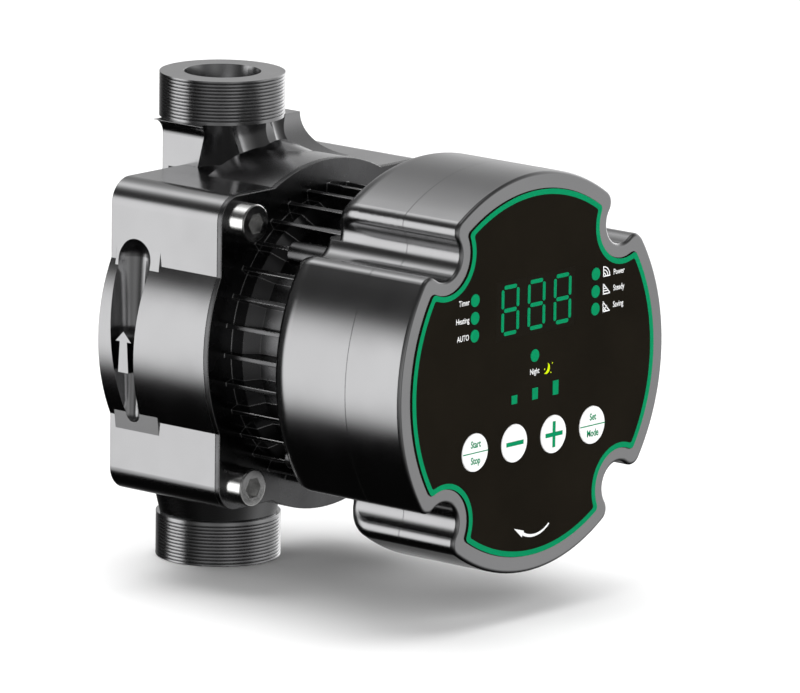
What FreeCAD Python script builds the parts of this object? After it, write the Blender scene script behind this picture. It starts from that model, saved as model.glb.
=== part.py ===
import FreeCAD, Part

import math
import os

import Sketcher
from FreeCAD import Placement, Rotation, Vector

# A small in-line heating circulator. Row frame, millimetres: +Z runs up the pipe, -Y points out of the
# control panel, and the origin is the centre of the lower (inlet) port's end face.
# Pieces on the motor's axis are drawn lying along their own +Z, with 0 at the pipe's centre line, and are
# then laid down towards -Y at half the port-to-port height.

doc = FreeCAD.newDocument("circulator_pump")
sheet = doc.addObject("Spreadsheet::Sheet", "Sizes")

# ---------------------------------------------------------------------------------------------- sizes

SIZES = {
    # ports: G1 male threads, with the fine rounded ridges of a rolled thread
    "port_to_port": 130.0,
    "thread_radius": 16.62,
    "thread_length": 11.7,
    "ridge_pitch": 0.9,
    "ridge_depth": 0.45,
    "ridge_crest": 0.45,
    "port_bore": 8.75,
    "port_mouth": 10.2,
    "mouth_depth": 9.0,
    # pump housing
    "housing_half": 41.6,
    "corner_round": 6.6,
    "drum_radius": 46.5,
    "housing_front": 36.0,
    "housing_back": 1.0,
    "drum_back": 14.0,
    "spine_radius": 15.2,
    "neck_flare": 12.0,
    "wing_half": 17.9,
    "wing_front": 11.5,
    "wing_back": 8.5,
    "waist_half": 13.8,
    "core_radius": 8.4,
    "neck_bore": 7.0,
    "corner_flute_top": 4.6,
    "corner_flute_foot": 8.5,
    "corner_flute_across": -13.8,
    "corner_flute_front": -11.6,
    "wide_flute": 9.0,
    "wide_flute_across": -2.2,
    "wide_flute_front": -17.6,
    "small_flute": 4.4,
    "small_flute_across": 8.8,
    "small_flute_front": -14.6,
    "inlet_waist": 16.0,
    "inlet_core": 10.4,
    "inlet_shoulder": 19.3,
    "shoulder_fade": 9.0,
    "scoop_radius": 8.0,
    "scoop_across": 14.3,
    "scoop_front": 16.6,
    "hump_radius": 12.5,
    "hump_crest": 2.0,
    "hump_across": 4.0,
    "hump_end": 4.0,
    "channel_low": 2.5,
    "channel_high": 5.7,
    "channel_top": 21.3,
    "channel_foot": 19.8,
    "channel_centre": 7.55,
    "channel_inset": 3.3,
    "step_rise": 0.8,
    "step_start": 18.5,
    "step_height": 5.8,
    "step_front": 16.3,
    "arrow_length": 11.0,
    "arrow_width": 5.6,
    "arrow_stem": 2.6,
    "arrow_spread": 1.4,
    "arrow_drop": 2.6,
    "arrow_relief": 0.4,
    # wet end
    "chamber_radius": 36.0,
    "chamber_back": 17.0,
    "eye_bore": 9.5,
    "seat_radius": 39.6,
    "seat_depth": 2.5,
    "outlet_bore": 7.5,
    "gasket_thick": 1.0,
    "plate_thick": 1.5,
    "ring_wall": 1.6,
    "ring_depth": 4.0,
    # motor
    "bolt_spacing": 70.0,
    "bolt_shank": 2.9,
    "bolt_head": 5.0,
    "bolt_head_high": 6.0,
    "bolt_key": 2.5,
    "bolt_reach": 18.0,
    "flange_thick": 1.5,
    "motor_bore": 32.2,
    "motor_wall": 2.4,
    "fin_tip": 40.0,
    "fin_thick": 1.5,
    "fin_count": 32,
    "fin_foot": 37.4,
    "fin_foot_high": 4.0,
    "fin_foot_slope": 3.6,
    "motor_end": 84.0,
    "end_wall": 2.5,
    # rotor
    "shaft_radius": 4.0,
    "shaft_start": 19.5,
    "shaft_end": 81.5,
    "running_gap": 0.03,
    "bush_radius": 8.0,
    "bush_length": 8.0,
    "bush_start": 36.4,
    "impeller_radius": 27.0,
    "impeller_start": 22.5,
    "vane_height": 6.5,
    "vane_count": 6,
    "shroud_thick": 1.5,
    "hub_radius": 7.0,
    "hub_end": 33.2,
    "eye_radius": 10.4,
    "rotor_radius": 13.8,
    "rotor_length": 26.0,
    "rotor_start": 45.5,
    "sleeve_thick": 0.4,
    "can_radius": 15.4,
    "can_wall": 0.5,
    "can_end": 82.0,
    "can_flange": 24.0,
    # stator
    "tooth_count": 6,
    "tooth_radius": 15.9,
    "tooth_width": 7.0,
    "yoke_radius": 26.5,
    "coil_thick": 2.2,
    # control box
    "box_back": 62.0,
    "top_back": 65.5,
    "foot_back": 71.0,
    "lobe_split": 33.0,
    "box_front": 108.5,
    "box_radius": 52.5,
    "box_wall": 2.2,
    "notch_inset": 3.0,
    "notch_radius": 6.0,
    "notch_corner": 3.6,
    "back_round": 8.0,
    "front_round": 1.0,
    "seam": 90.0,
    "seam_gap": 0.16,
    "panel_radius": 48.0,
    "panel_notch": 9.8,
    "panel_corner": 1.4,
    "panel_thick": 1.6,
    "panel_proud": 0.4,
    # panel fittings, measured across and up from the motor's axis
    "key_radius": 5.0,
    "key_pitch": 15.55,
    "key_drop": 17.3,
    "key_travel": 0.6,
    "key_proud": 0.35,
    "lamp_radius": 1.65,
    "lamp_side": 23.98,
    "lamp_top": 22.55,
    "lamp_pitch": 4.63,
    "night_lamp": 4.6,
    "digits_side": 15.6,
    "digits_low": 10.4,
    "digits_high": 25.8,
    "digits_height": 18.1,
    "digits_shift": 0.28,
    "digit_pitch": 10.37,
    "digit_half_wide": 2.97,
    "digit_half_tall": 6.06,
    "digit_bar": 0.52,
    "level_pitch": 8.2,
    "level_low": -6.95,
    "level_width": 2.2,
    "level_first": 2.27,
    "level_step": 0.74,
    # electronics
    "board_inset": 0.6,
    "board_thick": 1.6,
    "board_front": 97.0,
    "slip": 0.3,
    "fit": 0.1,
}


class Size:
    """A length that carries both its number and the spreadsheet formula that gives it."""

    def __init__(self, number, formula):
        self.number = number
        self.formula = formula

    def join(self, other, sign, swap=False):
        other = other if isinstance(other, Size) else Size(float(other), repr(float(other)))
        left, right = (other, self) if swap else (self, other)
        numbers = {
            "+": lambda: left.number + right.number,
            "-": lambda: left.number - right.number,
            "*": lambda: left.number * right.number,
            "/": lambda: left.number / right.number,
        }
        return Size(numbers[sign](), f"({left.formula} {sign} {right.formula})")

    def __add__(self, other):
        return self.join(other, "+")

    def __radd__(self, other):
        return self.join(other, "+", swap=True)

    def __sub__(self, other):
        return self.join(other, "-")

    def __rsub__(self, other):
        return self.join(other, "-", swap=True)

    def __mul__(self, other):
        return self.join(other, "*")

    def __rmul__(self, other):
        return self.join(other, "*", swap=True)

    def __truediv__(self, other):
        return self.join(other, "/")

    def __neg__(self):
        return self.join(0, "-", swap=True)


class Sheet:
    """The driving sizes by name, so that S.drum_radius is a Size."""

    def __getattr__(self, name):
        return Size(float(SIZES[name]), f"Sizes.{name}")


S = Sheet()
NOTHING = Size(0.0, "0")


def fill_sheet():
    for row, (name, number) in enumerate(SIZES.items(), start=1):
        sheet.set(f"A{row}", name.replace("_", " "))
        sheet.set(f"B{row}", repr(number))
        sheet.setAlias(f"B{row}", name)
    doc.recompute()


fill_sheet()

AXIS_HEIGHT = S.port_to_port / 2

# ------------------------------------------------------------------------------------ drawing helpers

FORWARD = Rotation(Vector(1, 0, 0), 90)
RIGHT = Rotation(Vector(0, 1, 0), 90)
UP = Rotation()
UPSIDE_DOWN = Rotation(Vector(1, 0, 0), 180)
# the hump over the outlet passage falls towards the front, and the passage climbs to the port
HUMP_FALL = Rotation(Vector(1, 0, 0), 102)
PASSAGE_CLIMB = Rotation(Vector(1, 0, 0), 112)
# the neck's flutes lean forward towards their feet
FLUTE_LEAN = 25.0
LEANING = Rotation(Vector(1, 0, 0), -FLUTE_LEAN)
# how far a cutting solid runs past the face that it cuts
PAST = 1.0
kept = {}


def as_size(value):
    return value if isinstance(value, Size) else Size(float(value), repr(float(value)))


def bind(thing, **sizes):
    """Tie properties of an object to the sheet."""
    for name, value in sizes.items():
        thing.setExpression(name, as_size(value).formula)


def place(thing, x=0, y=0, z=0, turn=UP):
    thing.Placement = Placement(Vector(), turn)
    for letter, value in zip("xyz", (x, y, z)):
        thing.setExpression(f"Placement.Base.{letter}", as_size(value).formula)
    return thing


def keep(thing, node):
    """Name a finished sub-part in the row frame."""
    thing.Label = node
    kept[node] = thing
    return thing


def keep_on_axis(thing, node):
    """Lay a piece drawn along its own +Z down on the motor's axis, and name it."""
    place(thing, z=AXIS_HEIGHT, turn=FORWARD)
    return keep(thing, node)


def rod(name, radius, length, x=0, y=0, z=0, turn=UP):
    solid = doc.addObject("Part::Cylinder", name)
    bind(solid, Radius=radius, Height=length)
    return place(solid, x, y, z, turn)


def block(name, low, high):
    """A box from one corner to the other; both are (x, y, z)."""
    solid = doc.addObject("Part::Box", name)
    sizes = [as_size(top) - as_size(bottom) for bottom, top in zip(low, high)]
    bind(solid, Length=sizes[0], Width=sizes[1], Height=sizes[2])
    return place(solid, *low)


def cone(name, radius_low, radius_high, length, x=0, y=0, z=0, turn=UP):
    solid = doc.addObject("Part::Cone", name)
    bind(solid, Radius1=radius_low, Radius2=radius_high, Height=length)
    return place(solid, x, y, z, turn)


def ball(name, radius, x=0, y=0, z=0):
    solid = doc.addObject("Part::Sphere", name)
    bind(solid, Radius=radius)
    return place(solid, x, y, z)


def hoop(name, radius, thick, x=0, y=0, z=0, turn=UP):
    """A full ring of round section."""
    solid = doc.addObject("Part::Torus", name)
    bind(solid, Radius1=radius, Radius2=thick)
    return place(solid, x, y, z, turn)


def fuse(name, *things):
    joined = doc.addObject("Part::MultiFuse", name)
    joined.Shapes = list(things)
    joined.Refine = True
    return joined


def group(name, *things):
    """Separate solids that share one node."""
    together = doc.addObject("Part::Compound", name)
    together.Links = list(things)
    return together


def cut(name, base, *tools):
    tool = tools[0] if len(tools) == 1 else group(name + "_cutters", *tools)
    result = doc.addObject("Part::Cut", name)
    result.Base = base
    result.Tool = tool
    return result


def common(name, *things):
    result = doc.addObject("Part::MultiCommon", name)
    result.Shapes = list(things)
    return result


def new_body(name):
    return doc.addObject("PartDesign::Body", name)


def sketch_on(body, role, name, height=None):
    """A sketch on one of the body's own origin planes, raised off it by height."""
    plane = next(item for item in body.Origin.OriginFeatures if item.Role == role)
    sketch = body.newObject("Sketcher::SketchObject", name)
    sketch.AttachmentSupport = (plane, [""])
    sketch.MapMode = "FlatFace"
    if height is not None:
        bind(sketch, **{"AttachmentOffset.Base.z": height})
    return sketch


def pin_point(sketch, edge, end, across, along):
    """Hold one end of a sketch line at (across, along) from the sketch's origin."""
    for kind, size, zero_axis in (("DistanceX", across, -2), ("DistanceY", along, -1)):
        if abs(size.number) < 1e-9:
            sketch.addConstraint(Sketcher.Constraint("PointOnObject", edge, end, zero_axis))
            continue
        index = sketch.addConstraint(Sketcher.Constraint(kind, -1, 1, edge, end, size.number))
        sketch.setExpression(f"Constraints[{index}]", size.formula)


def draw_outline(sketch, points):
    """A closed outline of straight lines through points (across, along), each tied to the sheet."""
    points = [(as_size(across), as_size(along)) for across, along in points]
    places = [Vector(across.number, along.number, 0) for across, along in points]
    first = sketch.GeometryCount
    for start, end in zip(places, places[1:] + places[:1]):
        sketch.addGeometry(Part.LineSegment(start, end), False)
    for index, (across, along) in enumerate(points):
        following = first + (index + 1) % len(points)
        sketch.addConstraint(Sketcher.Constraint("Coincident", first + index, 2, following, 1))
        pin_point(sketch, first + index, 1, across, along)


def draw_circle(sketch, radius, across=NOTHING, along=NOTHING):
    radius, across, along = as_size(radius), as_size(across), as_size(along)
    centre = Vector(across.number, along.number, 0)
    edge = sketch.addGeometry(Part.Circle(centre, Vector(0, 0, 1), radius.number), False)
    pin_point(sketch, edge, 3, across, along)
    index = sketch.addConstraint(Sketcher.Constraint("Radius", edge, radius.number))
    sketch.setExpression(f"Constraints[{index}]", radius.formula)


def turned(name, points):
    """A body turned about its own Z axis from an outline of (radius, height) points."""
    body = new_body(name)
    sketch = sketch_on(body, "XZ_Plane", name + "_outline")
    draw_outline(sketch, points)
    turn = body.newObject("PartDesign::Revolution", name + "_turn")
    turn.Profile = sketch
    turn.ReferenceAxis = (sketch, ["V_Axis"])
    turn.Angle = 360
    body.Tip = turn
    return body


def pad_sketch(body, name, sketch, length):
    pad = body.newObject("PartDesign::Pad", name)
    pad.Profile = sketch
    bind(pad, Length=length)
    body.Tip = pad
    return pad


def pattern_round(body, name, feature, sketch, count):
    """Repeat a feature round the body's Z axis."""
    pattern = body.newObject("PartDesign::PolarPattern", name)
    pattern.Originals = [feature]
    pattern.Axis = (sketch, ["N_Axis"])
    pattern.Angle = 360
    bind(pattern, Occurrences=count)
    body.Tip = pattern
    return pattern


def round_edges(body, name, radius, chosen):
    """Fillet the edges of the body so far for which chosen(edge) is true."""
    doc.recompute()
    base = body.Tip
    names = [f"Edge{n}" for n, edge in enumerate(base.Shape.Edges, start=1) if chosen(edge)]
    if not names:
        raise RuntimeError(f"{name} found no edges")
    fillet = body.newObject("PartDesign::Fillet", name)
    fillet.Base = (base, names)
    bind(fillet, Radius=radius)
    body.Tip = fillet
    return fillet


def stands_upright(edge):
    """Is this a straight edge along the body's own Z?"""
    if not isinstance(edge.Curve, Part.Line):
        return False
    return abs(edge.Curve.Direction.z) > 0.999


def lies_at(edge, height):
    box = edge.BoundBox
    return abs(box.ZMin - height) < 1e-4 and abs(box.ZMax - height) < 1e-4


def pocket_sketch(body, name, sketch, length, upward=True):
    pocket = body.newObject("PartDesign::Pocket", name)
    pocket.Profile = sketch
    pocket.Reversed = upward
    bind(pocket, Length=length)
    body.Tip = pocket
    return pocket


def whole(size):
    return Size(float(math.floor(size.number)), f"floor({size.formula})")


def square_plate(name, half, corner, low, high):
    """A square plate with rounded corners, drawn along its own Z."""
    body = new_body(name)
    sketch = sketch_on(body, "XY_Plane", name + "_outline", low)
    draw_outline(sketch, [(-half, -half), (half, -half), (half, half), (-half, half)])
    pad_sketch(body, name + "_pad", sketch, high - low)
    round_edges(body, name + "_corners", corner, stands_upright)
    return body


def lobed(name, radius, notch, corner, low, high, back_round=None, front_round=None):
    """The control box's outline: a disc with four notches round the flange screws, as a solid."""
    body = new_body(name)
    disc = sketch_on(body, "XY_Plane", name + "_disc", low)
    draw_circle(disc, radius)
    pad_sketch(body, name + "_pad", disc, high - low)
    if back_round is not None:
        round_edges(body, name + "_back", back_round, lambda edge: lies_at(edge, low.number))
    # the notch is centred just inside the box's rim and always clears the screw on its inner side
    distance = S.box_radius - S.notch_inset
    grown = distance - S.bolt_spacing / math.sqrt(2)
    sketch = sketch_on(body, "XY_Plane", name + "_notch", low)
    draw_circle(sketch, notch + grown, distance / math.sqrt(2), distance / math.sqrt(2))
    pocket = pocket_sketch(body, name + "_cut", sketch, high - low)
    pattern_round(body, name + "_notches", pocket, sketch, 4)
    round_edges(body, name + "_corners", corner, stands_upright)
    if front_round is not None:
        round_edges(body, name + "_front", front_round, lambda edge: lies_at(edge, high.number))
    return body


def at_angle(solid, angle):
    """Turn a solid, already placed, round the motor's axis by an angle in degrees."""
    turned_copy = doc.addObject("Part::Compound", solid.Name + "_turned")
    turned_copy.Links = [solid]
    turned_copy.Placement = Placement(Vector(), Rotation(Vector(0, 0, 1), angle))
    return turned_copy


def four(name, radius, length, across, height):
    """Four like rods on a square, drawn along the motor's axis."""
    corners = [(across, across), (-across, across), (-across, -across), (across, -across)]
    return [rod(f"{name}_{n}", radius, length, x, y, height) for n, (x, y) in enumerate(corners)]


# --------------------------------------------------------------------------------------- pump housing

COLLAR = S.port_to_port - S.thread_length
HOUSING_TOP = AXIS_HEIGHT + S.housing_half


def threaded_end(name):
    """A port's male thread, standing on its end face, with rounded ridges in rings."""
    body = turned(
        name,
        [(0, 0), (S.thread_radius, 0), (S.thread_radius, S.thread_length), (0, S.thread_length)],
    )
    open_width = S.ridge_pitch - S.ridge_crest
    start = S.ridge_crest
    sketch = sketch_on(body, "XZ_Plane", name + "_valley")
    outside = S.thread_radius + S.ridge_depth
    draw_outline(
        sketch,
        [
            (outside, start - open_width / 2),
            (S.thread_radius - S.ridge_depth, start + open_width / 2),
            (outside, start + open_width * 1.5),
        ],
    )
    groove = body.newObject("PartDesign::Groove", name + "_groove")
    groove.Profile = sketch
    groove.ReferenceAxis = (sketch, ["V_Axis"])
    groove.Angle = 360
    body.Tip = groove
    count = whole((S.thread_length - S.ridge_crest) / S.ridge_pitch)
    rings = body.newObject("PartDesign::LinearPattern", name + "_rings")
    rings.Originals = [groove]
    rings.Direction = (sketch, ["V_Axis"])
    bind(rings, Length=(count - 1) * S.ridge_pitch, Occurrences=count)
    body.Tip = rings
    return body


def outlet_neck():
    """The outlet neck: a wing at the collar, a flare towards the volute and three flutes in front."""
    foot = HOUSING_TOP - S.neck_flare / 5
    depth = S.wing_front + S.neck_flare + S.wing_back
    blank = block(
        "neck_blank",
        (-S.wing_half, -S.wing_front - S.neck_flare, foot),
        (S.wing_half + S.neck_flare, S.wing_back, COLLAR),
    )
    side_flare = rod(
        "neck_side_flare",
        S.neck_flare,
        depth + 2 * PAST,
        x=S.wing_half + S.neck_flare,
        y=S.wing_back + PAST,
        z=COLLAR,
        turn=FORWARD,
    )
    under_wing = S.wing_half - S.waist_half
    wing_scoop = rod(
        "neck_wing_scoop",
        under_wing,
        depth + 2 * PAST,
        x=-S.wing_half,
        y=S.wing_back + PAST,
        z=COLLAR - under_wing,
        turn=FORWARD,
    )
    wing_side = block(
        "neck_wing_side",
        (-S.wing_half - PAST, -S.wing_front - S.neck_flare - PAST, foot - PAST),
        (-S.waist_half, S.wing_back + PAST, COLLAR - under_wing),
    )
    front = -S.wing_front - S.neck_flare
    front_flare = rod(
        "neck_front_flare",
        S.neck_flare,
        2 * S.wing_half + S.neck_flare + 2 * PAST,
        x=-S.wing_half - PAST,
        y=front,
        z=COLLAR,
        turn=RIGHT,
    )
    low = foot - PAST
    corner = cone(
        "corner_flute",
        S.corner_flute_foot,
        S.corner_flute_top,
        COLLAR - low,
        S.corner_flute_across,
        S.corner_flute_front,
        low,
    )
    run = (COLLAR - low) * math.tan(math.radians(FLUTE_LEAN))
    flutes = [
        rod(name, radius, (COLLAR - low) * 2, x, y - run, low, LEANING)
        for name, radius, x, y in (
            ("flute_wide", S.wide_flute, S.wide_flute_across, S.wide_flute_front),
            ("flute_small", S.small_flute, S.small_flute_across, S.small_flute_front),
        )
    ]
    solid = cut(
        "neck_fluted", blank, side_flare, wing_scoop, wing_side, front_flare, corner, *flutes
    )
    core = rod("neck_core", S.core_radius, COLLAR - low, z=low)
    return fuse("neck", solid, core)


def inlet_neck():
    """The inlet neck: it widens to the block, fades out behind it, has a scoop and a round core."""
    block_foot = AXIS_HEIGHT - S.housing_half
    high = block_foot - S.thread_length
    flare = cone("inlet_flare", S.inlet_waist, S.inlet_shoulder, high, z=S.thread_length)
    fade = cone("inlet_fade", S.inlet_shoulder, S.spine_radius, S.shoulder_fade, z=block_foot)
    near = block(
        "inlet_near",
        (-S.drum_radius, -S.drum_radius, NOTHING),
        (S.drum_radius, S.wing_back, AXIS_HEIGHT),
    )
    scoop = rod(
        "inlet_scoop",
        S.scoop_radius,
        high,
        S.scoop_across,
        -S.scoop_front,
        S.thread_length,
    )
    near_part = common("inlet_near_part", fuse("inlet_cones", flare, fade), near)
    shoulder = cut("inlet_shoulders", near_part, scoop)
    core = rod("inlet_core", S.inlet_core, high + PAST, z=S.thread_length)
    return fuse("inlet_neck", shoulder, core)


def flow_arrow():
    """An arrow standing in the left side channel, level with the drum and pointing up the flow."""
    body = new_body("arrow")
    sketch = sketch_on(body, "YZ_Plane", "arrow_outline")
    half, stem = S.arrow_width / 2, S.arrow_stem / 2
    foot, neck = -S.arrow_length / 2, S.arrow_length / 2 - half
    draw_outline(
        sketch,
        [
            (-stem * S.arrow_spread, foot),
            (stem * S.arrow_spread, foot),
            (stem, neck),
            (half, neck),
            (0, S.arrow_length / 2),
            (-half, neck),
            (-stem, neck),
        ],
    )
    pad_sketch(body, "arrow_pad", sketch, S.channel_inset + S.channel_high)
    reach = S.drum_radius - S.arrow_relief
    return place(body, x=-reach, y=-S.channel_centre, z=AXIS_HEIGHT - S.arrow_drop)


def side_channel(name, side):
    """A tapering groove with a round bottom and round ends, open to that side (-1 left, 1 right)."""
    x = side * (S.drum_radius - S.channel_inset)
    out = S.channel_inset * 2
    x_out = x if side > 0 else x - out
    y = -S.channel_centre
    low, high = AXIS_HEIGHT - S.channel_foot, AXIS_HEIGHT + S.channel_top
    pieces = [cone(name + "_trunk", S.channel_low, S.channel_high, high - low, x, y, low)]
    for end, radius, height in (("low", S.channel_low, low), ("high", S.channel_high, high)):
        pieces.append(ball(f"{name}_{end}_end", radius, x, y, height))
        pieces.append(rod(f"{name}_{end}_open", radius, out, x_out, y, height, RIGHT))
    mouth = new_body(name + "_mouth")
    sketch = sketch_on(mouth, "YZ_Plane", name + "_mouth_outline")
    draw_outline(
        sketch,
        [
            (-S.channel_low, 0),
            (S.channel_low, 0),
            (S.channel_high, high - low),
            (-S.channel_high, high - low),
        ],
    )
    pad_sketch(mouth, name + "_mouth_pad", sketch, out)
    pieces.append(place(mouth, x_out, y, low))
    return fuse(name, *pieces)


def side_step(name, side, end):
    """A low wedge on the block's side, above (end 1) or below (end -1) the drum's bulge."""
    tall, deep = S.step_height + PAST, S.corner_round
    low_x, high_x = (NOTHING, deep) if side < 0 else (-deep, NOTHING)
    low_z, high_z = (NOTHING, tall) if end > 0 else (-tall, NOTHING)
    wedge = block(name + "_block", (low_x, -S.step_front, low_z), (high_x, -S.housing_back, high_z))
    slope = math.degrees(math.atan(SIZES["step_rise"] / SIZES["step_height"]))
    return place(
        group(name, wedge),
        x=side * (S.housing_half + S.step_rise),
        z=AXIS_HEIGHT + end * S.step_start,
        turn=Rotation(Vector(0, 1, 0), -side * end * slope),
    )


def make_pump_housing():
    front, back = S.housing_front, S.housing_back
    depth = front + back
    slab = place(
        square_plate("slab", S.housing_half, S.corner_round, NOTHING, depth),
        y=back,
        z=AXIS_HEIGHT,
        turn=FORWARD,
    )
    drum = rod(
        "drum", S.drum_radius, front - S.drum_back, y=-S.drum_back, z=AXIS_HEIGHT, turn=FORWARD
    )
    bulge_rod = rod("bulge_rod", S.drum_radius, depth, y=back, z=AXIS_HEIGHT, turn=FORWARD)
    bulge_band = block(
        "bulge_band",
        (-S.drum_radius - PAST, -front, AXIS_HEIGHT - S.housing_half),
        (S.drum_radius + PAST, back, HOUSING_TOP),
    )
    bulge = common("bulge_sides", bulge_rod, bulge_band)
    steps = [
        side_step(f"step_{place_name}", side, end)
        for place_name, side, end in (
            ("left_high", -1, 1),
            ("left_low", -1, -1),
            ("right_high", 1, 1),
            ("right_low", 1, -1),
        )
    ]
    block_solid = fuse("block_solid", slab, bulge, *steps)
    channelled = cut(
        "block_channelled", block_solid, side_channel("channel_left", -1), side_channel("channel_right", 1)
    )
    hump = rod(
        "outlet_hump",
        S.hump_radius,
        front - S.drum_back - S.hump_end,
        x=S.hump_across,
        y=-S.drum_back,
        z=AXIS_HEIGHT + S.drum_radius + S.hump_crest - S.hump_radius,
        turn=HUMP_FALL,
    )
    spine_low = AXIS_HEIGHT - S.housing_half
    spine = rod("spine", S.spine_radius, HOUSING_TOP - PAST - spine_low, z=spine_low)
    outlet_thread = threaded_end("outlet_thread")
    place(outlet_thread, z=S.port_to_port, turn=UPSIDE_DOWN)
    solid = fuse(
        "housing_solid",
        channelled,
        drum,
        flow_arrow(),
        hump,
        spine,
        outlet_neck(),
        inlet_neck(),
        threaded_end("inlet_thread"),
        outlet_thread,
    )
    seat = front - S.seat_depth
    chamber = rod(
        "chamber",
        S.chamber_radius,
        front - S.chamber_back + PAST,
        y=-S.chamber_back,
        z=AXIS_HEIGHT,
        turn=FORWARD,
    )
    plate_seat = rod(
        "plate_seat", S.seat_radius, S.seat_depth + PAST, y=-seat, z=AXIS_HEIGHT, turn=FORWARD
    )
    ring_seat = rod(
        "ring_seat",
        S.eye_radius + S.ring_wall * 2 + S.slip,
        S.ring_depth + PAST,
        y=-(S.chamber_back - S.ring_depth),
        z=AXIS_HEIGHT,
        turn=FORWARD,
    )
    eye = rod(
        "eye", S.eye_bore, S.chamber_back + S.eye_bore, y=S.eye_bore, z=AXIS_HEIGHT, turn=FORWARD
    )
    inlet = rod("inlet", S.port_bore, AXIS_HEIGHT + PAST, z=-PAST)
    outlet_start = HOUSING_TOP - S.outlet_bore
    outlet = rod("outlet", S.neck_bore, S.port_to_port - outlet_start + PAST, z=outlet_start)
    crossing = rod(
        "outlet_crossing",
        S.outlet_bore,
        S.chamber_back + S.outlet_bore + S.hump_end,
        z=HOUSING_TOP - PAST,
        turn=PASSAGE_CLIMB,
    )
    mouths = [
        cone("inlet_mouth", S.port_mouth, S.port_bore, S.mouth_depth, z=0),
        cone(
            "outlet_mouth",
            S.port_bore,
            S.port_mouth,
            S.mouth_depth,
            z=S.port_to_port - S.mouth_depth,
        ),
    ]
    half = S.bolt_spacing / 2
    tapped = [
        rod(
            f"tapped_hole_{n}",
            S.bolt_shank + S.fit,
            S.bolt_reach + 1,
            x,
            -(front - S.bolt_reach),
            AXIS_HEIGHT + z,
            FORWARD,
        )
        for n, (x, z) in enumerate([(half, half), (-half, half), (-half, -half), (half, -half)])
    ]
    housing = cut(
        "housing",
        solid,
        chamber,
        plate_seat,
        ring_seat,
        eye,
        inlet,
        outlet,
        crossing,
        *mouths,
        *tapped,
    )
    keep(housing, "pump_housing")


# ------------------------------------------------------------------------------------------- wet end

SEAT_BACK = S.housing_front - S.seat_depth
PLATE_BACK = SEAT_BACK + S.gasket_thick
SHAFT_SKIN = S.shaft_radius - S.running_gap
NECK_COLLAR = S.eye_radius + S.ring_wall
SHROUD_START = S.impeller_start - S.shroud_thick
VANE_END = S.impeller_start + S.vane_height
BUSH_END = S.bush_start + S.bush_length


def ring(name, inner, outer, low, high):
    return turned(name, [(inner, low), (outer, low), (outer, high), (inner, high)])


def make_wet_end():
    seat_outer = NECK_COLLAR + S.slip + S.ring_wall
    wear_ring = ring(
        "wear_ring",
        NECK_COLLAR + S.slip,
        seat_outer - S.fit / 2,
        S.chamber_back - S.ring_depth,
        S.chamber_back,
    )
    keep_on_axis(wear_ring, "neck_ring")
    gasket = ring(
        "gasket", S.chamber_radius + S.slip, S.seat_radius - S.fit, SEAT_BACK, PLATE_BACK
    )
    keep_on_axis(gasket, "housing_gasket")
    hub_outer = S.bush_radius + S.ring_wall
    plate = turned(
        "plate",
        [
            (S.shaft_radius + S.slip, PLATE_BACK),
            (S.seat_radius - S.fit, PLATE_BACK),
            (S.seat_radius - S.fit, S.housing_front),
            (hub_outer, S.housing_front),
            (hub_outer, BUSH_END),
            (S.bush_radius + S.fit / 4, BUSH_END),
            (S.bush_radius + S.fit / 4, S.bush_start),
            (S.shaft_radius + S.slip, S.bush_start),
        ],
    )
    keep_on_axis(plate, "bearing_plate")
    front_bush = ring("front_bush", S.shaft_radius, S.bush_radius, S.bush_start, BUSH_END)
    keep_on_axis(front_bush, "front_bearing")
    rotor_end = S.rotor_start + S.rotor_length
    bush_back = rotor_end + 1
    rear_bush = ring(
        "rear_bush", S.shaft_radius, S.bush_radius, bush_back, bush_back + S.bush_length
    )
    keep_on_axis(rear_bush, "rear_bearing")
    holder_outer = S.can_radius - S.can_wall - S.fit / 4
    holder = ring(
        "holder",
        S.bush_radius + S.fit / 4,
        holder_outer,
        bush_back,
        S.can_end - S.can_wall,
    )
    keep_on_axis(holder, "rear_bearing_holder")


# --------------------------------------------------------------------------------------------- rotor


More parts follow.
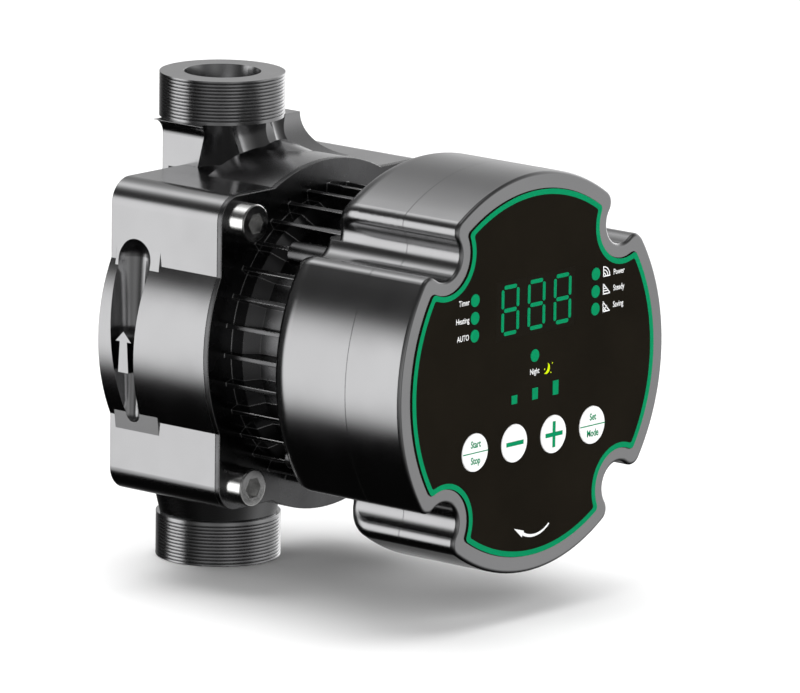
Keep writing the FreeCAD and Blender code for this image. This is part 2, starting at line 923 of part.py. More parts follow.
def make_rotor():
    shaft = turned(
        "spindle",
        [(0, S.shaft_start), (SHAFT_SKIN, S.shaft_start), (SHAFT_SKIN, S.shaft_end), (0, S.shaft_end)],
    )
    round_edges(shaft, "spindle_ends", S.slip, lambda edge: isinstance(edge.Curve, Part.Circle))
    keep_on_axis(shaft, "shaft")
    bore = SHAFT_SKIN + S.fit / 4
    wheel = turned(
        "wheel",
        [
            (bore, S.impeller_start),
            (S.hub_radius, S.impeller_start),
            (S.hub_radius, VANE_END),
            (S.impeller_radius, VANE_END),
            (S.impeller_radius, VANE_END + S.shroud_thick),
            (S.hub_radius, VANE_END + S.shroud_thick),
            (S.hub_radius, S.hub_end),
            (bore, S.hub_end),
        ],
    )
    sketch = sketch_on(wheel, "XY_Plane", "vane_outline", S.impeller_start)
    inner, thick, lean = S.hub_radius + 4, S.shroud_thick, S.impeller_radius / 2
    outer = S.impeller_radius * 0.8
    draw_outline(
        sketch, [(inner, 0), (outer, lean), (outer - thick, lean + thick), (inner - thick, thick)]
    )
    vane = pad_sketch(wheel, "vane", sketch, S.vane_height)
    pattern_round(wheel, "vanes", vane, sketch, S.vane_count)
    keep_on_axis(wheel, "impeller")
    shroud = turned(
        "shroud",
        [
            (S.eye_radius, S.chamber_back - S.ring_depth + 1),
            (NECK_COLLAR, S.chamber_back - S.ring_depth + 1),
            (NECK_COLLAR, SHROUD_START),
            (S.impeller_radius, SHROUD_START),
            (S.impeller_radius, S.impeller_start),
            (S.eye_radius, S.impeller_start),
        ],
    )
    keep_on_axis(shroud, "impeller_shroud")
    rotor_end = S.rotor_start + S.rotor_length
    core = ring("core", bore, S.rotor_radius, S.rotor_start, rotor_end)
    keep_on_axis(core, "rotor_core")
    sleeve = ring(
        "sleeve",
        S.rotor_radius + S.fit / 4,
        S.rotor_radius + S.sleeve_thick,
        S.rotor_start,
        rotor_end,
    )
    keep_on_axis(sleeve, "rotor_sleeve")
    washer = ring("washer", bore, S.bush_radius, BUSH_END + S.fit, S.rotor_start)
    keep_on_axis(washer, "thrust_washer")


# --------------------------------------------------------------------------------------------- motor

CAN_SEAT = S.housing_front + S.can_wall + S.gasket_thick
INNER_WALL = CAN_SEAT + S.end_wall
TUBE_RADIUS = S.motor_bore + S.motor_wall
STATOR_START = S.rotor_start
STATOR_END = S.rotor_start + S.rotor_length
MOTOR_FRONT = S.motor_end + S.end_wall
PLUG_ACROSS = 22.0
PLUG_UP = 11.0
PLUG_HALF = 3.6
LUG_RADIUS = 38.0
LUG_SIZE = 2.9
SCREW_SHANK = 1.45
SCREW_HEAD = 2.6
SCREW_HEAD_HIGH = 2.0


def make_motor_housing():
    front = S.housing_front
    flange_end = front + S.flange_thick
    plate = square_plate("motor_flange", S.housing_half, S.corner_round, front, flange_end)
    disc = rod("motor_disc", S.drum_radius, S.flange_thick, z=front)
    foot_end = flange_end + S.fin_foot_high
    tube = turned(
        "motor_tube",
        [
            (0, front),
            (S.drum_radius - 1, front),
            (S.drum_radius - 1, flange_end),
            (S.fin_foot, flange_end),
            (S.fin_foot, foot_end),
            (TUBE_RADIUS, foot_end + S.fin_foot_slope),
            (TUBE_RADIUS, MOTOR_FRONT),
            (0, MOTOR_FRONT),
        ],
    )
    fin = new_body("fins")
    sketch = sketch_on(fin, "XY_Plane", "fin_outline", flange_end)
    half, tip_half = S.fin_thick / 2, S.fin_thick / 2.6
    root = TUBE_RADIUS - 1
    draw_outline(sketch, [(root, -half), (S.fin_tip, -tip_half), (S.fin_tip, tip_half), (root, half)])
    pad = pad_sketch(fin, "fin", sketch, S.box_back - flange_end)
    core_sketch = sketch_on(fin, "XY_Plane", "fin_core_outline", flange_end)
    draw_circle(core_sketch, root + 0.5)
    pad_sketch(fin, "fin_core", core_sketch, S.box_back - flange_end)
    pattern_round(fin, "fin_ring", pad, sketch, S.fin_count)
    lug_offset = LUG_RADIUS / math.sqrt(2)
    lugs = four("lug", LUG_SIZE + 0.3, S.fin_foot_high * 3, lug_offset, S.box_back - 12)
    bore = rod("stator_bore", S.motor_bore, MOTOR_FRONT, z=INNER_WALL)
    can_recess = rod("can_recess", S.can_flange + S.slip, CAN_SEAT - front + 1, z=front - 1)
    can_hole = rod("can_hole", S.can_radius + S.slip, INNER_WALL - front + 2, z=front)
    half_bolts = S.bolt_spacing / 2
    holes = four("flange_hole", S.bolt_shank + S.slip, S.flange_thick + 2, half_bolts, front - 1)
    lug_holes = four("lug_hole", SCREW_SHANK + 0.05, 11, lug_offset, S.box_back - 10)
    body = fuse("motor_solid", plate, disc, tube, fin, *lugs)
    motor = cut("motor", body, bore, can_recess, can_hole, *holes, *lug_holes)
    keep_on_axis(motor, "motor_housing")


def make_motor_parts():
    can_flange_end = S.housing_front + S.can_wall
    inside = S.can_radius - S.can_wall
    can = turned(
        "can",
        [
            (inside, S.housing_front),
            (S.can_flange, S.housing_front),
            (S.can_flange, can_flange_end),
            (S.can_radius, can_flange_end),
            (S.can_radius, S.can_end),
            (0, S.can_end),
            (0, S.can_end - S.can_wall),
            (inside, S.can_end - S.can_wall),
        ],
    )
    keep_on_axis(can, "rotor_can")
    seal = ring("seal", S.can_flange - 5, S.can_flange, can_flange_end, CAN_SEAT)
    keep_on_axis(seal, "can_seal")
    stator_outer = S.motor_bore - S.fit / 4
    yoke = ring("yoke", S.yoke_radius, stator_outer, STATOR_START, STATOR_END)
    keep_on_axis(make_stator(yoke), "stator_core")
    keep_on_axis(make_coils(), "stator_coils")
    end_cap = cut(
        "end_cap_cut",
        rod("end_cap", stator_outer, S.end_wall, z=S.motor_end),
        block(
            "plug_window",
            (PLUG_ACROSS - PLUG_HALF - S.fit, PLUG_UP - PLUG_HALF - S.fit, S.motor_end - 1),
            (PLUG_ACROSS + PLUG_HALF + S.fit, PLUG_UP + PLUG_HALF + S.fit, MOTOR_FRONT + 1),
        ),
    )
    keep_on_axis(end_cap, "motor_end_cap")
    plug = block(
        "plug",
        (PLUG_ACROSS - PLUG_HALF, PLUG_UP - PLUG_HALF, STATOR_END + S.coil_thick),
        (PLUG_ACROSS + PLUG_HALF, PLUG_UP + PLUG_HALF, BOARD_BACK),
    )
    keep_on_axis(group("plug_block", plug), "stator_plug")


def make_stator(yoke):
    half = S.tooth_width / 2
    teeth = []
    for n in range(int(SIZES["tooth_count"])):
        tooth = block(
            f"tooth_{n}",
            (S.tooth_radius + S.fit, -half, STATOR_START),
            (S.yoke_radius + 1, half, STATOR_END),
        )
        teeth.append(at_angle(tooth, 360.0 / SIZES["tooth_count"] * n))
    return fuse("stator", yoke, *teeth)


def make_coils():
    half = S.tooth_width / 2 + S.fit
    coils = []
    for n in range(int(SIZES["tooth_count"])):
        outside = block(
            f"coil_{n}",
            (S.tooth_radius + 3, -half - S.coil_thick, STATOR_START - S.coil_thick),
            (S.yoke_radius - 1, half + S.coil_thick, STATOR_END + S.coil_thick),
        )
        window = block(
            f"coil_window_{n}",
            (S.tooth_radius, -half, STATOR_START - S.fit),
            (S.yoke_radius, half, STATOR_END + S.fit),
        )
        coils.append(at_angle(cut(f"coil_cut_{n}", outside, window), 360.0 / SIZES["tooth_count"] * n))
    return group("coils", *coils)


def make_flange_screws():
    screws = []
    half = S.bolt_spacing / 2
    seat = S.housing_front + S.flange_thick
    for n, (x, y) in enumerate([(half, half), (-half, half), (-half, -half), (half, -half)]):
        head = turned(
            f"screw_head_{n}",
            [
                (0, -S.bolt_reach),
                (S.bolt_shank, -S.bolt_reach),
                (S.bolt_shank, 0),
                (S.bolt_head, 0),
                (S.bolt_head, S.bolt_head_high),
                (0, S.bolt_head_high),
            ],
        )
        head_top = SIZES["bolt_head_high"]
        round_edges(
            head, f"screw_rim_{n}", S.bolt_head / 12, lambda edge: lies_at(edge, head_top)
        )
        place(head, x, y, seat)
        key = doc.addObject("Part::Prism", f"screw_key_{n}")
        key.Polygon = 6
        bind(key, Circumradius=S.bolt_key * 2 / math.sqrt(3), Height=S.bolt_head_high / 2 + 1)
        place(key, x, y, seat + S.bolt_head_high / 2)
        screws.append(cut(f"screw_{n}", head, key))
    keep_on_axis(group("screws", *screws), "flange_screws")


# --------------------------------------------------------------------------------------- control box

BOARD_BACK = S.board_front - S.board_thick
COVER_BACK = S.seam + S.seam_gap
COVER_WALL = S.box_front - S.box_wall
PANEL_FRONT = S.box_front + S.panel_proud
PANEL_BACK = PANEL_FRONT - S.panel_thick
BOSS_OFFSET = (43.4, 15.8)
BOSS_RADIUS = 4.2
POST_RADIUS = 3.0
POST_DISTANCE = 34.0
GLAND_HEIGHT = 76.0
GLAND_THREAD = 6.0
GLAND_BORE = 3.6
GLAND_INSIDE = 6.0
GLAND_COLLAR = 3.0
NUT_RADIUS = 7.4
NUT_SMALL = 5.6
NUT_SIDE = 4.0
NUT_LONG = 7.0
# clearances round the screws, and how far the bosses run into the walls behind them
SCREW_LOOSE = 0.25
HEAD_WELL = 12.5
SHELL_SCREW_LONG = 10.2
BOSS_BITE = 0.5
POST_HOLE = 1.15


def turned_points(point, count=4):
    """The same point repeated round the axis in quarter turns."""
    x, y = point
    points = []
    for _ in range(count):
        points.append((x, y))
        x, y = -y, x
    return points


def rods_at(name, points, radius, low, high):
    return [
        rod(f"{name}_{n}", radius, high - low, x, y, low) for n, (x, y) in enumerate(points)
    ]


def stepped_form(name, thinner, split):
    """The rear shell's form: the top and bottom lobes start further forward than the side ones."""
    across = S.box_radius + PAST
    zones = (
        ("sides", S.box_back, -split, split),
        ("top", S.top_back, split, across),
        ("foot", S.foot_back, -across, -split),
    )
    pieces = []
    for zone, back, low_y, high_y in zones:
        whole_form = lobed(
            f"{name}_{zone}_whole",
            S.box_radius - thinner,
            S.notch_radius + thinner,
            S.notch_corner - thinner,
            back + thinner,
            S.seam,
            back_round=S.back_round - thinner,
        )
        keep_block = block(
            f"{name}_{zone}_block", (-across, low_y, S.box_back), (across, high_y, S.seam)
        )
        pieces.append(common(f"{name}_{zone}", whole_form, keep_block))
    return fuse(name, *pieces)


def make_rear_shell():
    low, high = S.box_back, S.seam
    outside = stepped_form("rear_outside", NOTHING, S.lobe_split)
    inside = stepped_form("rear_inside", S.box_wall, S.lobe_split - S.box_wall)
    hollow = cut("rear_hollow", outside, inside)
    bosses = rods_at(
        "rear_boss", turned_points(BOSS_OFFSET), BOSS_RADIUS, low + S.box_wall - BOSS_BITE, high
    )
    boss_trim = common("rear_bosses", outside, group("rear_boss_group", *bosses))
    solid = fuse("rear_solid", hollow, boss_trim)
    hole_end = S.foot_back + S.box_wall + PAST
    motor_hole = rod("motor_hole", TUBE_RADIUS + S.fit, hole_end - low + PAST, z=low - PAST)
    lug_offset = LUG_RADIUS / math.sqrt(2)
    lug_points = turned_points((lug_offset, lug_offset))
    shell_holes = rods_at(
        "shell_hole", lug_points, SCREW_SHANK + SCREW_LOOSE, low - PAST, low + S.box_wall + PAST
    )
    boss_points = turned_points(BOSS_OFFSET)
    heads = rods_at(
        "cover_head_hole", boss_points, SCREW_HEAD + SCREW_LOOSE, low - PAST, low + HEAD_WELL
    )
    shanks = rods_at("cover_shank_hole", boss_points, SCREW_SHANK + S.slip, low, high + PAST)
    gland_hole = rod(
        "gland_hole",
        GLAND_THREAD + S.slip,
        GLAND_INSIDE * 2,
        x=S.box_radius - GLAND_INSIDE - PAST,
        z=GLAND_HEIGHT,
        turn=RIGHT,
    )
    shell = cut("rear_shell", solid, motor_hole, *shell_holes, *heads, *shanks, gland_hole)
    keep_on_axis(shell, "control_rear_shell")


def make_front_cover():
    low, high = COVER_BACK, S.box_front
    outside = lobed(
        "cover_outside",
        S.box_radius,
        S.notch_radius,
        S.notch_corner,
        low,
        high,
        front_round=S.front_round,
    )
    inside = lobed(
        "cover_inside",
        S.box_radius - S.box_wall,
        S.notch_radius + S.box_wall,
        S.notch_corner - S.box_wall,
        low - PAST,
        COVER_WALL,
    )
    hollow = cut("cover_hollow", outside, inside)
    wall = COVER_WALL + BOSS_BITE
    boss_points = turned_points(BOSS_OFFSET)
    bosses = rods_at("cover_boss", boss_points, BOSS_RADIUS, low, wall)
    post_points = turned_points((POST_DISTANCE, 0.0))
    posts = rods_at("board_post", post_points, POST_RADIUS, S.board_front, wall)
    solid = fuse("cover_solid", hollow, *bosses, *posts)
    recess = lobed(
        "panel_recess",
        S.panel_radius + S.fit,
        S.panel_notch - S.fit,
        S.panel_corner,
        PANEL_BACK,
        high + PAST,
    )
    tapped = rods_at(
        "cover_tapped", boss_points, SCREW_SHANK + S.slip / 2, low - PAST, COVER_WALL - PAST
    )
    post_holes = rods_at(
        "post_hole", post_points, POST_HOLE, S.board_front - PAST, COVER_WALL - PAST
    )
    openings = panel_openings("cover", low, PANEL_FRONT + PAST)
    cover = cut("front_cover", solid, recess, *tapped, *post_holes, *openings)
    keep_on_axis(cover, "control_front_cover")
    panel = lobed(
        "panel_blank", S.panel_radius, S.panel_notch, S.panel_corner, PANEL_BACK, PANEL_FRONT
    )
    fascia = cut(
        "fascia", panel, *panel_openings("panel", PANEL_BACK - PAST, PANEL_FRONT + PAST)
    )
    keep_on_axis(fascia, "fascia_panel")


def key_points():
    """Centres of the four keys: (name, across), from the left."""
    pitch = S.key_pitch
    return [
        ("start_stop_button", -1.5 * pitch),
        ("minus_button", -0.5 * pitch),
        ("plus_button", 0.5 * pitch),
        ("set_button", 1.5 * pitch),
    ]


def lamp_points():
    """Centres of the seven round lamps: three at each side and the night lamp."""
    points = [(NOTHING, S.night_lamp)]
    for side in (-1, 1):
        for n in range(3):
            points.append((side * S.lamp_side, S.lamp_top - n * S.lamp_pitch))
    return points


def level_box(name, n, low, high, extra=0):
    """One of the three level bars, each a step taller than the last."""
    middle = (n - 1) * S.level_pitch + S.digits_shift
    half = S.level_width / 2 + extra
    tall = S.level_first + n * S.level_step
    return block(
        f"{name}_level_{n}",
        (middle - half, S.level_low - extra, low),
        (middle + half, S.level_low + tall + extra, high),
    )


def panel_openings(name, low, high):
    """The cuts for the keys, lamps, level bars and display window."""
    cuts = [
        rod(f"{name}_{key}_hole", S.key_radius + S.fit, high - low, x, -S.key_drop, low)
        for key, x in key_points()
    ]
    cuts += [
        rod(f"{name}_lamp_hole_{n}", S.lamp_radius + S.fit / 2, high - low, x, y, low)
        for n, (x, y) in enumerate(lamp_points())
    ]
    cuts += [level_box(name, n, low, high, S.fit / 2) for n in range(3)]
    cuts.append(
        block(
            f"{name}_window",
            (-S.digits_side - S.fit / 4, S.digits_low - S.fit / 4, low),
            (S.digits_side + S.fit / 4, S.digits_high + S.fit / 4, high),
        )
    )
    return cuts


def digit_bar(name, x, y, length, upright):
    """A bar with round ends, its middle at (x, y), standing a little proud of the window."""
    low, high = PANEL_FRONT, PANEL_FRONT + S.fit
    radius, half = S.digit_bar, length / 2 - S.digit_bar
    wide, tall = (radius, half) if upright else (half, radius)
    ends = [(0, -half), (0, half)] if upright else [(-half, 0), (half, 0)]
    middle = block(name + "_middle", (x - wide, y - tall, low), (x + wide, y + tall, high))
    tips = [
        rod(f"{name}_tip_{n}", radius, high - low, x + across, y + up, low)
        for n, (across, up) in enumerate(ends)
    ]
    return fuse(name, middle, *tips)


def make_digits():
    """Three figures of seven bars each."""
    bars = []
    wide, tall, y = S.digit_half_wide, S.digit_half_tall, S.digits_height
    bar_across, bar_up = wide * 2 - S.digit_bar * 2, tall - S.digit_bar * 2
    for figure in (-1, 0, 1):
        x = figure * S.digit_pitch + S.digits_shift
        for level in (-1, 0, 1):
            name = f"bar_across_{figure + 1}_{level + 1}"
            bars.append(digit_bar(name, x, y + level * tall, bar_across, False))
        for side in (-1, 1):
            for half in (-1, 1):
                name = f"bar_up_{figure + 1}_{side + 1}_{half + 1}"
                bars.append(digit_bar(name, x + side * wide, y + half * tall / 2, bar_up, True))
    keep_on_axis(group("digits", *bars), "display_digits")


SWITCH_HALF = 3.0
SWITCH_HIGH = 3.5
PLUNGER_RADIUS = 1.7
PLUNGER_HIGH = 0.8
KEY_STEM = 1.6
KEY_COLLAR = 0.8
KEY_COLLAR_THICK = 1.0


def make_panel_fittings():
    front = PANEL_FRONT
    window = block(
        "window",
        (-S.digits_side, S.digits_low, COVER_WALL),
        (S.digits_side, S.digits_high, front),
    )
    keep_on_axis(group("window_pane", window), "display_window")
    make_digits()
    lamps = rods_at("lamp", lamp_points(), S.lamp_radius, S.board_front, front + S.fit)
    keep_on_axis(group("lamps", *lamps), "mode_lamps")
    levels = [level_box("lit", n, S.board_front, front + S.fit) for n in range(3)]
    keep_on_axis(group("levels", *levels), "level_lamps")
    switch_top = S.board_front + SWITCH_HIGH
    plunger_top = switch_top + PLUNGER_HIGH
    switches = []
    for key, x in key_points():
        cap_top = front + S.key_proud
        stem_foot = plunger_top + S.key_travel + S.fit
        collar = COVER_WALL - S.fit
        button = turned(
            f"{key}_body",
            [
                (0, stem_foot),
                (KEY_STEM, stem_foot),
                (KEY_STEM, collar - KEY_COLLAR_THICK),
                (S.key_radius + KEY_COLLAR, collar - KEY_COLLAR_THICK),
                (S.key_radius + KEY_COLLAR, collar),
                (S.key_radius, collar),
                (S.key_radius, cap_top),
                (0, cap_top),
            ],
        )
        round_edges(
            button, f"{key}_rim", S.slip, lambda edge: lies_at(edge, cap_top.number)
        )
        place(button, x=x, y=0, z=AXIS_HEIGHT - S.key_drop, turn=FORWARD)
        keep(button, key)
        base = block(
            f"{key}_switch",
            (x - SWITCH_HALF, -S.key_drop - SWITCH_HALF, S.board_front),
            (x + SWITCH_HALF, -S.key_drop + SWITCH_HALF, switch_top),
        )
        plunger = rod(
            f"{key}_plunger",
            PLUNGER_RADIUS,
            PLUNGER_HIGH,
            x,
            -S.key_drop,
            switch_top,
        )
        switches.append(fuse(f"{key}_switch_body", base, plunger))
    keep_on_axis(group("switches", *switches), "key_switches")
    module = block(
        "module",
        (-S.digits_side - S.board_inset, S.digits_low - S.board_inset, S.board_front),
        (S.digits_side + S.board_inset, S.digits_high + S.board_inset, COVER_WALL),
    )
    keep_on_axis(group("module_block", module), "display_module")


# --------------------------------------------------------------------------------------- electronics


BOARD_HOLE = 1.3
BOARD_SHANK = 1.1
BOARD_HEAD = 2.2
BOARD_HEAD_HIGH = 1.6
BOARD_SCREW_LONG = 6.0
CAPACITOR_POINTS = [(-41.0, 11.6), (-42.2, -1.2)]
CAPACITOR_RADIUS = 6.0
CHOKE_RADIUS = 4.4
CHOKE_THICK = 2.1
CHOKE_UP = -43.2
PAD_THICK = 1.5
MODULE_HALF = (13.0, 11.0)
TERMINAL_SIDES = (37.0, 45.5)
TERMINAL_HALF = 8.0
WELL_RADIUS = 1.8
WELL_PITCH = 5.0
WELL_DEPTH = 5.0


def make_electronics():
    board = lobed(
        "board_blank",
        S.panel_radius - S.board_inset,
        S.panel_notch,
        S.panel_corner,
        BOARD_BACK,
        S.board_front,
    )
    clear = rods_at(
        "board_clear",
        turned_points(BOSS_OFFSET),
        BOSS_RADIUS + S.board_inset,
        BOARD_BACK - PAST,
        S.board_front + PAST,
    )
    post_points = turned_points((POST_DISTANCE, 0.0))
    holes = rods_at(
        "board_hole", post_points, BOARD_HOLE, BOARD_BACK - PAST, S.board_front + PAST
    )
    keep_on_axis(cut("board", board, *clear, *holes), "control_board")
    screws = []
    for n, (x, y) in enumerate(post_points):
        screw = turned(
            f"board_screw_{n}",
            [
                (0, -BOARD_HEAD_HIGH),
                (BOARD_HEAD, -BOARD_HEAD_HIGH),
                (BOARD_HEAD, 0),
                (BOARD_SHANK, 0),
                (BOARD_SHANK, BOARD_SCREW_LONG),
                (0, BOARD_SCREW_LONG),
            ],
        )
        screws.append(place(screw, x, y, BOARD_BACK))
    keep_on_axis(group("board_screw_set", *screws), "board_screws")
    # the parts behind the board stand clear in front of the motor's end
    parts_back = MOTOR_FRONT + S.slip
    capacitors = rods_at(
        "capacitor", CAPACITOR_POINTS, CAPACITOR_RADIUS, parts_back, BOARD_BACK
    )
    keep_on_axis(group("capacitors", *capacitors), "dc_capacitors")
    choke = hoop("choke", CHOKE_RADIUS, CHOKE_THICK, y=CHOKE_UP, z=BOARD_BACK - CHOKE_THICK)
    keep_on_axis(group("choke_ring", choke), "filter_choke")
    pad_front = MOTOR_FRONT + PAD_THICK
    across, up = MODULE_HALF
    module = block("power", (-across, -up, pad_front), (across, up, BOARD_BACK))
    keep_on_axis(group("power_block", module), "power_module")
    pad = block("pad", (1 - across, 1 - up, MOTOR_FRONT), (across - 1, up - 1, pad_front))
    keep_on_axis(group("pad_sheet", pad), "thermal_pad")
    left, right = TERMINAL_SIDES
    terminals = block(
        "terminals", (left, -TERMINAL_HALF, parts_back), (right, TERMINAL_HALF, BOARD_BACK)
    )
    wells = [
        rod(
            f"terminal_well_{n}",
            WELL_RADIUS,
            WELL_DEPTH + PAST,
            (left + right) / 2,
            n * WELL_PITCH,
            parts_back - PAST,
        )
        for n in (-1, 0, 1)
    ]
    keep_on_axis(cut("terminal_strip", terminals, *wells), "terminal_block")


def make_gland():
    face = S.box_radius
    inside = face - GLAND_INSIDE
    long = GLAND_INSIDE + GLAND_COLLAR
    inner = rod("gland_thread", GLAND_THREAD, long, x=inside, z=GLAND_HEIGHT, turn=RIGHT)
    collar = doc.addObject("Part::Prism", "gland_collar")
    collar.Polygon = 6
    bind(collar, Circumradius=GLAND_THREAD * 1.5, Height=GLAND_COLLAR)
    place(collar, x=face, z=GLAND_HEIGHT, turn=RIGHT)
    bore = rod(
        "gland_bore", GLAND_BORE, long + 2 * PAST, x=inside - PAST, z=GLAND_HEIGHT, turn=RIGHT
    )
    keep_on_axis(cut("gland", fuse("gland_solid", inner, collar), bore), "cable_gland")
    dome = new_body("gland_dome")
    sketch = sketch_on(dome, "XZ_Plane", "gland_dome_outline")
    end = GLAND_COLLAR + NUT_LONG
    draw_outline(
        sketch,
        [
            (GLAND_BORE, GLAND_COLLAR),
            (NUT_RADIUS, GLAND_COLLAR),
            (NUT_RADIUS, GLAND_COLLAR + NUT_SIDE),
            (NUT_SMALL, end),
            (GLAND_BORE, end),
        ],
    )
    turn = dome.newObject("PartDesign::Revolution", "gland_dome_turn")
    turn.Profile = sketch
    turn.ReferenceAxis = (sketch, ["V_Axis"])
    turn.Angle = 360
    dome.Tip = turn
    place(dome, x=face, z=GLAND_HEIGHT, turn=RIGHT)
    keep_on_axis(group("gland_cap", dome), "gland_nut")


def headed_screw(name, length, point, seat, facing_front):
    """A small screw with its head on the seat; the shank points to the back or to the front."""
    x, y = point
    sign = -1 if facing_front else 1
    shank = rod(
        f"{name}_shank", SCREW_SHANK, length, x, y, seat - length if facing_front else seat
    )
    head_low = seat if sign < 0 else seat - SCREW_HEAD_HIGH
    head = rod(f"{name}_head", SCREW_HEAD, SCREW_HEAD_HIGH, x, y, head_low)
    return fuse(name, shank, head)


def make_box_screws():
    lug_offset = LUG_RADIUS / math.sqrt(2)
    seat = S.box_back + S.box_wall
    shell = [
        headed_screw(f"shell_screw_{n}", SHELL_SCREW_LONG, point, seat, True)
        for n, point in enumerate(turned_points((lug_offset, lug_offset)))
    ]
    keep_on_axis(group("shell_screw_set", *shell), "shell_screws")
    head_seat = S.box_back + HEAD_WELL
    long = S.seam - S.box_back + SCREW_HEAD_HIGH
    cover = [
        headed_screw(f"cover_screw_{n}", long, point, head_seat, False)
        for n, point in enumerate(turned_points(BOSS_OFFSET))
    ]
    keep_on_axis(group("cover_screw_set", *cover), "cover_screws")


def make_shell_gasket():
    outside = lobed(
        "gasket_outside",
        S.box_radius,
        S.notch_radius,
        S.notch_corner,
        S.seam,
        COVER_BACK,
    )
    inside = lobed(
        "gasket_inside",
        S.box_radius - S.box_wall,
        S.notch_radius + S.box_wall,
        S.notch_corner - S.box_wall,
        S.seam - PAST,
        COVER_BACK + PAST,
    )
    keep_on_axis(cut("box_gasket", outside, inside), "shell_gasket")


# --------------------------------------------------------------------------------------------- build


def check_and_write():
    doc.recompute()
    failed = [item.Label for item in doc.Objects if {"Invalid", "Error"} & set(item.State)]
    if failed:
        raise RuntimeError(f"failed objects: {failed}")
    for node, thing in kept.items():
        shape = thing.Shape
        if shape.isNull() or not shape.isValid() or not shape.Solids:
            raise RuntimeError(f"{node} has no valid solid")
    os.makedirs("parts", exist_ok=True)
    for node, thing in kept.items():
        thing.Shape.exportStep(f"parts/{node}.step")
        print(f"{node}: {len(thing.Shape.Solids)} solid(s), {thing.Shape.Volume / 1000:.2f} cm3")
    print(f"{len(kept)} nodes")


make_pump_housing()
make_wet_end()
make_rotor()
make_motor_housing()
make_motor_parts()
make_flange_screws()
make_rear_shell()
make_front_cover()
make_panel_fittings()
make_electronics()
make_gland()
make_box_screws()
make_shell_gasket()
check_and_write()
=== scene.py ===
# %% [markdown]
# # A circulator pump, dressed for its portrait
# This pump pushes warm water round a heating loop. Two threaded ports stand one above the other,
# a round motor lies across the pipe, and a control box with four lobes closes its front.
# The solid parts come ready made from the engineering model, already in place and already
# jointed, so this lesson only adds what that model leaves out: the finish of each material, the
# printing on the dark panel, the light, the floor and the camera. All lengths are metres.

# %% Load the frame
import math

import bpy
import numpy as np
from mathutils import Matrix, Vector


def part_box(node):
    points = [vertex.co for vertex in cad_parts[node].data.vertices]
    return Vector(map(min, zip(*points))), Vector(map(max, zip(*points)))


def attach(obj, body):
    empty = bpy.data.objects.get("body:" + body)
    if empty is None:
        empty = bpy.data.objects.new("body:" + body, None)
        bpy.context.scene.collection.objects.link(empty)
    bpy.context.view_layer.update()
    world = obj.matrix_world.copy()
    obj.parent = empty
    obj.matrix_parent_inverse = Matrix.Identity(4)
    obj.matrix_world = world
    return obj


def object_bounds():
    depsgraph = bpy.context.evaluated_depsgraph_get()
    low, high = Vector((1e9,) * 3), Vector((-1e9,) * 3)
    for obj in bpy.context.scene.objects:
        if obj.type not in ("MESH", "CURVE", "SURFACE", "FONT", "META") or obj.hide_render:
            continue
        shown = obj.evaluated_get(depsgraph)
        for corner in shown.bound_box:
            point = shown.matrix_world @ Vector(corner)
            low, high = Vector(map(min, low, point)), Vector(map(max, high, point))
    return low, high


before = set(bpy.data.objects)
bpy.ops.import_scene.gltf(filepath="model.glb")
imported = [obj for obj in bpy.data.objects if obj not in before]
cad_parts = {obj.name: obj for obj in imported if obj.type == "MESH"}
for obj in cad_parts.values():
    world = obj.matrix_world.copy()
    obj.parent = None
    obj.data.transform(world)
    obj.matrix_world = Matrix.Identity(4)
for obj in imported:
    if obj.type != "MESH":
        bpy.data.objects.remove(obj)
CAD_BOX = [list(corner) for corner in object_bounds()]
MM = 0.001

# %% [markdown]
# ## Where things are
# The motor lies level, at the middle of the pipe, and the panel looks towards -Y. Every print on
# the panel is placed from the solid parts themselves: the height of the motor's axis is the middle
# of the panel's own box, and the face to print on is the nearest side of that same box.

# %% Measure the panel and the keys
PANEL_LOW, PANEL_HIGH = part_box("fascia_panel")
AXIS = (PANEL_LOW.z + PANEL_HIGH.z) / 2
FACE = PANEL_LOW.y
KEYS = {
    "start_stop": "start_stop_button",
    "minus": "minus_button",
    "plus": "plus_button",
    "set": "set_button",
}


def key_place(name):
    """Middle of a key, across and up from the motor's axis, and the place of its cap's face."""
    low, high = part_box(KEYS[name])
    return (low.x + high.x) / 2, (low.z + high.z) / 2 - AXIS, low.y


for name in KEYS:
    print(name, [round(value / MM, 2) for value in key_place(name)])
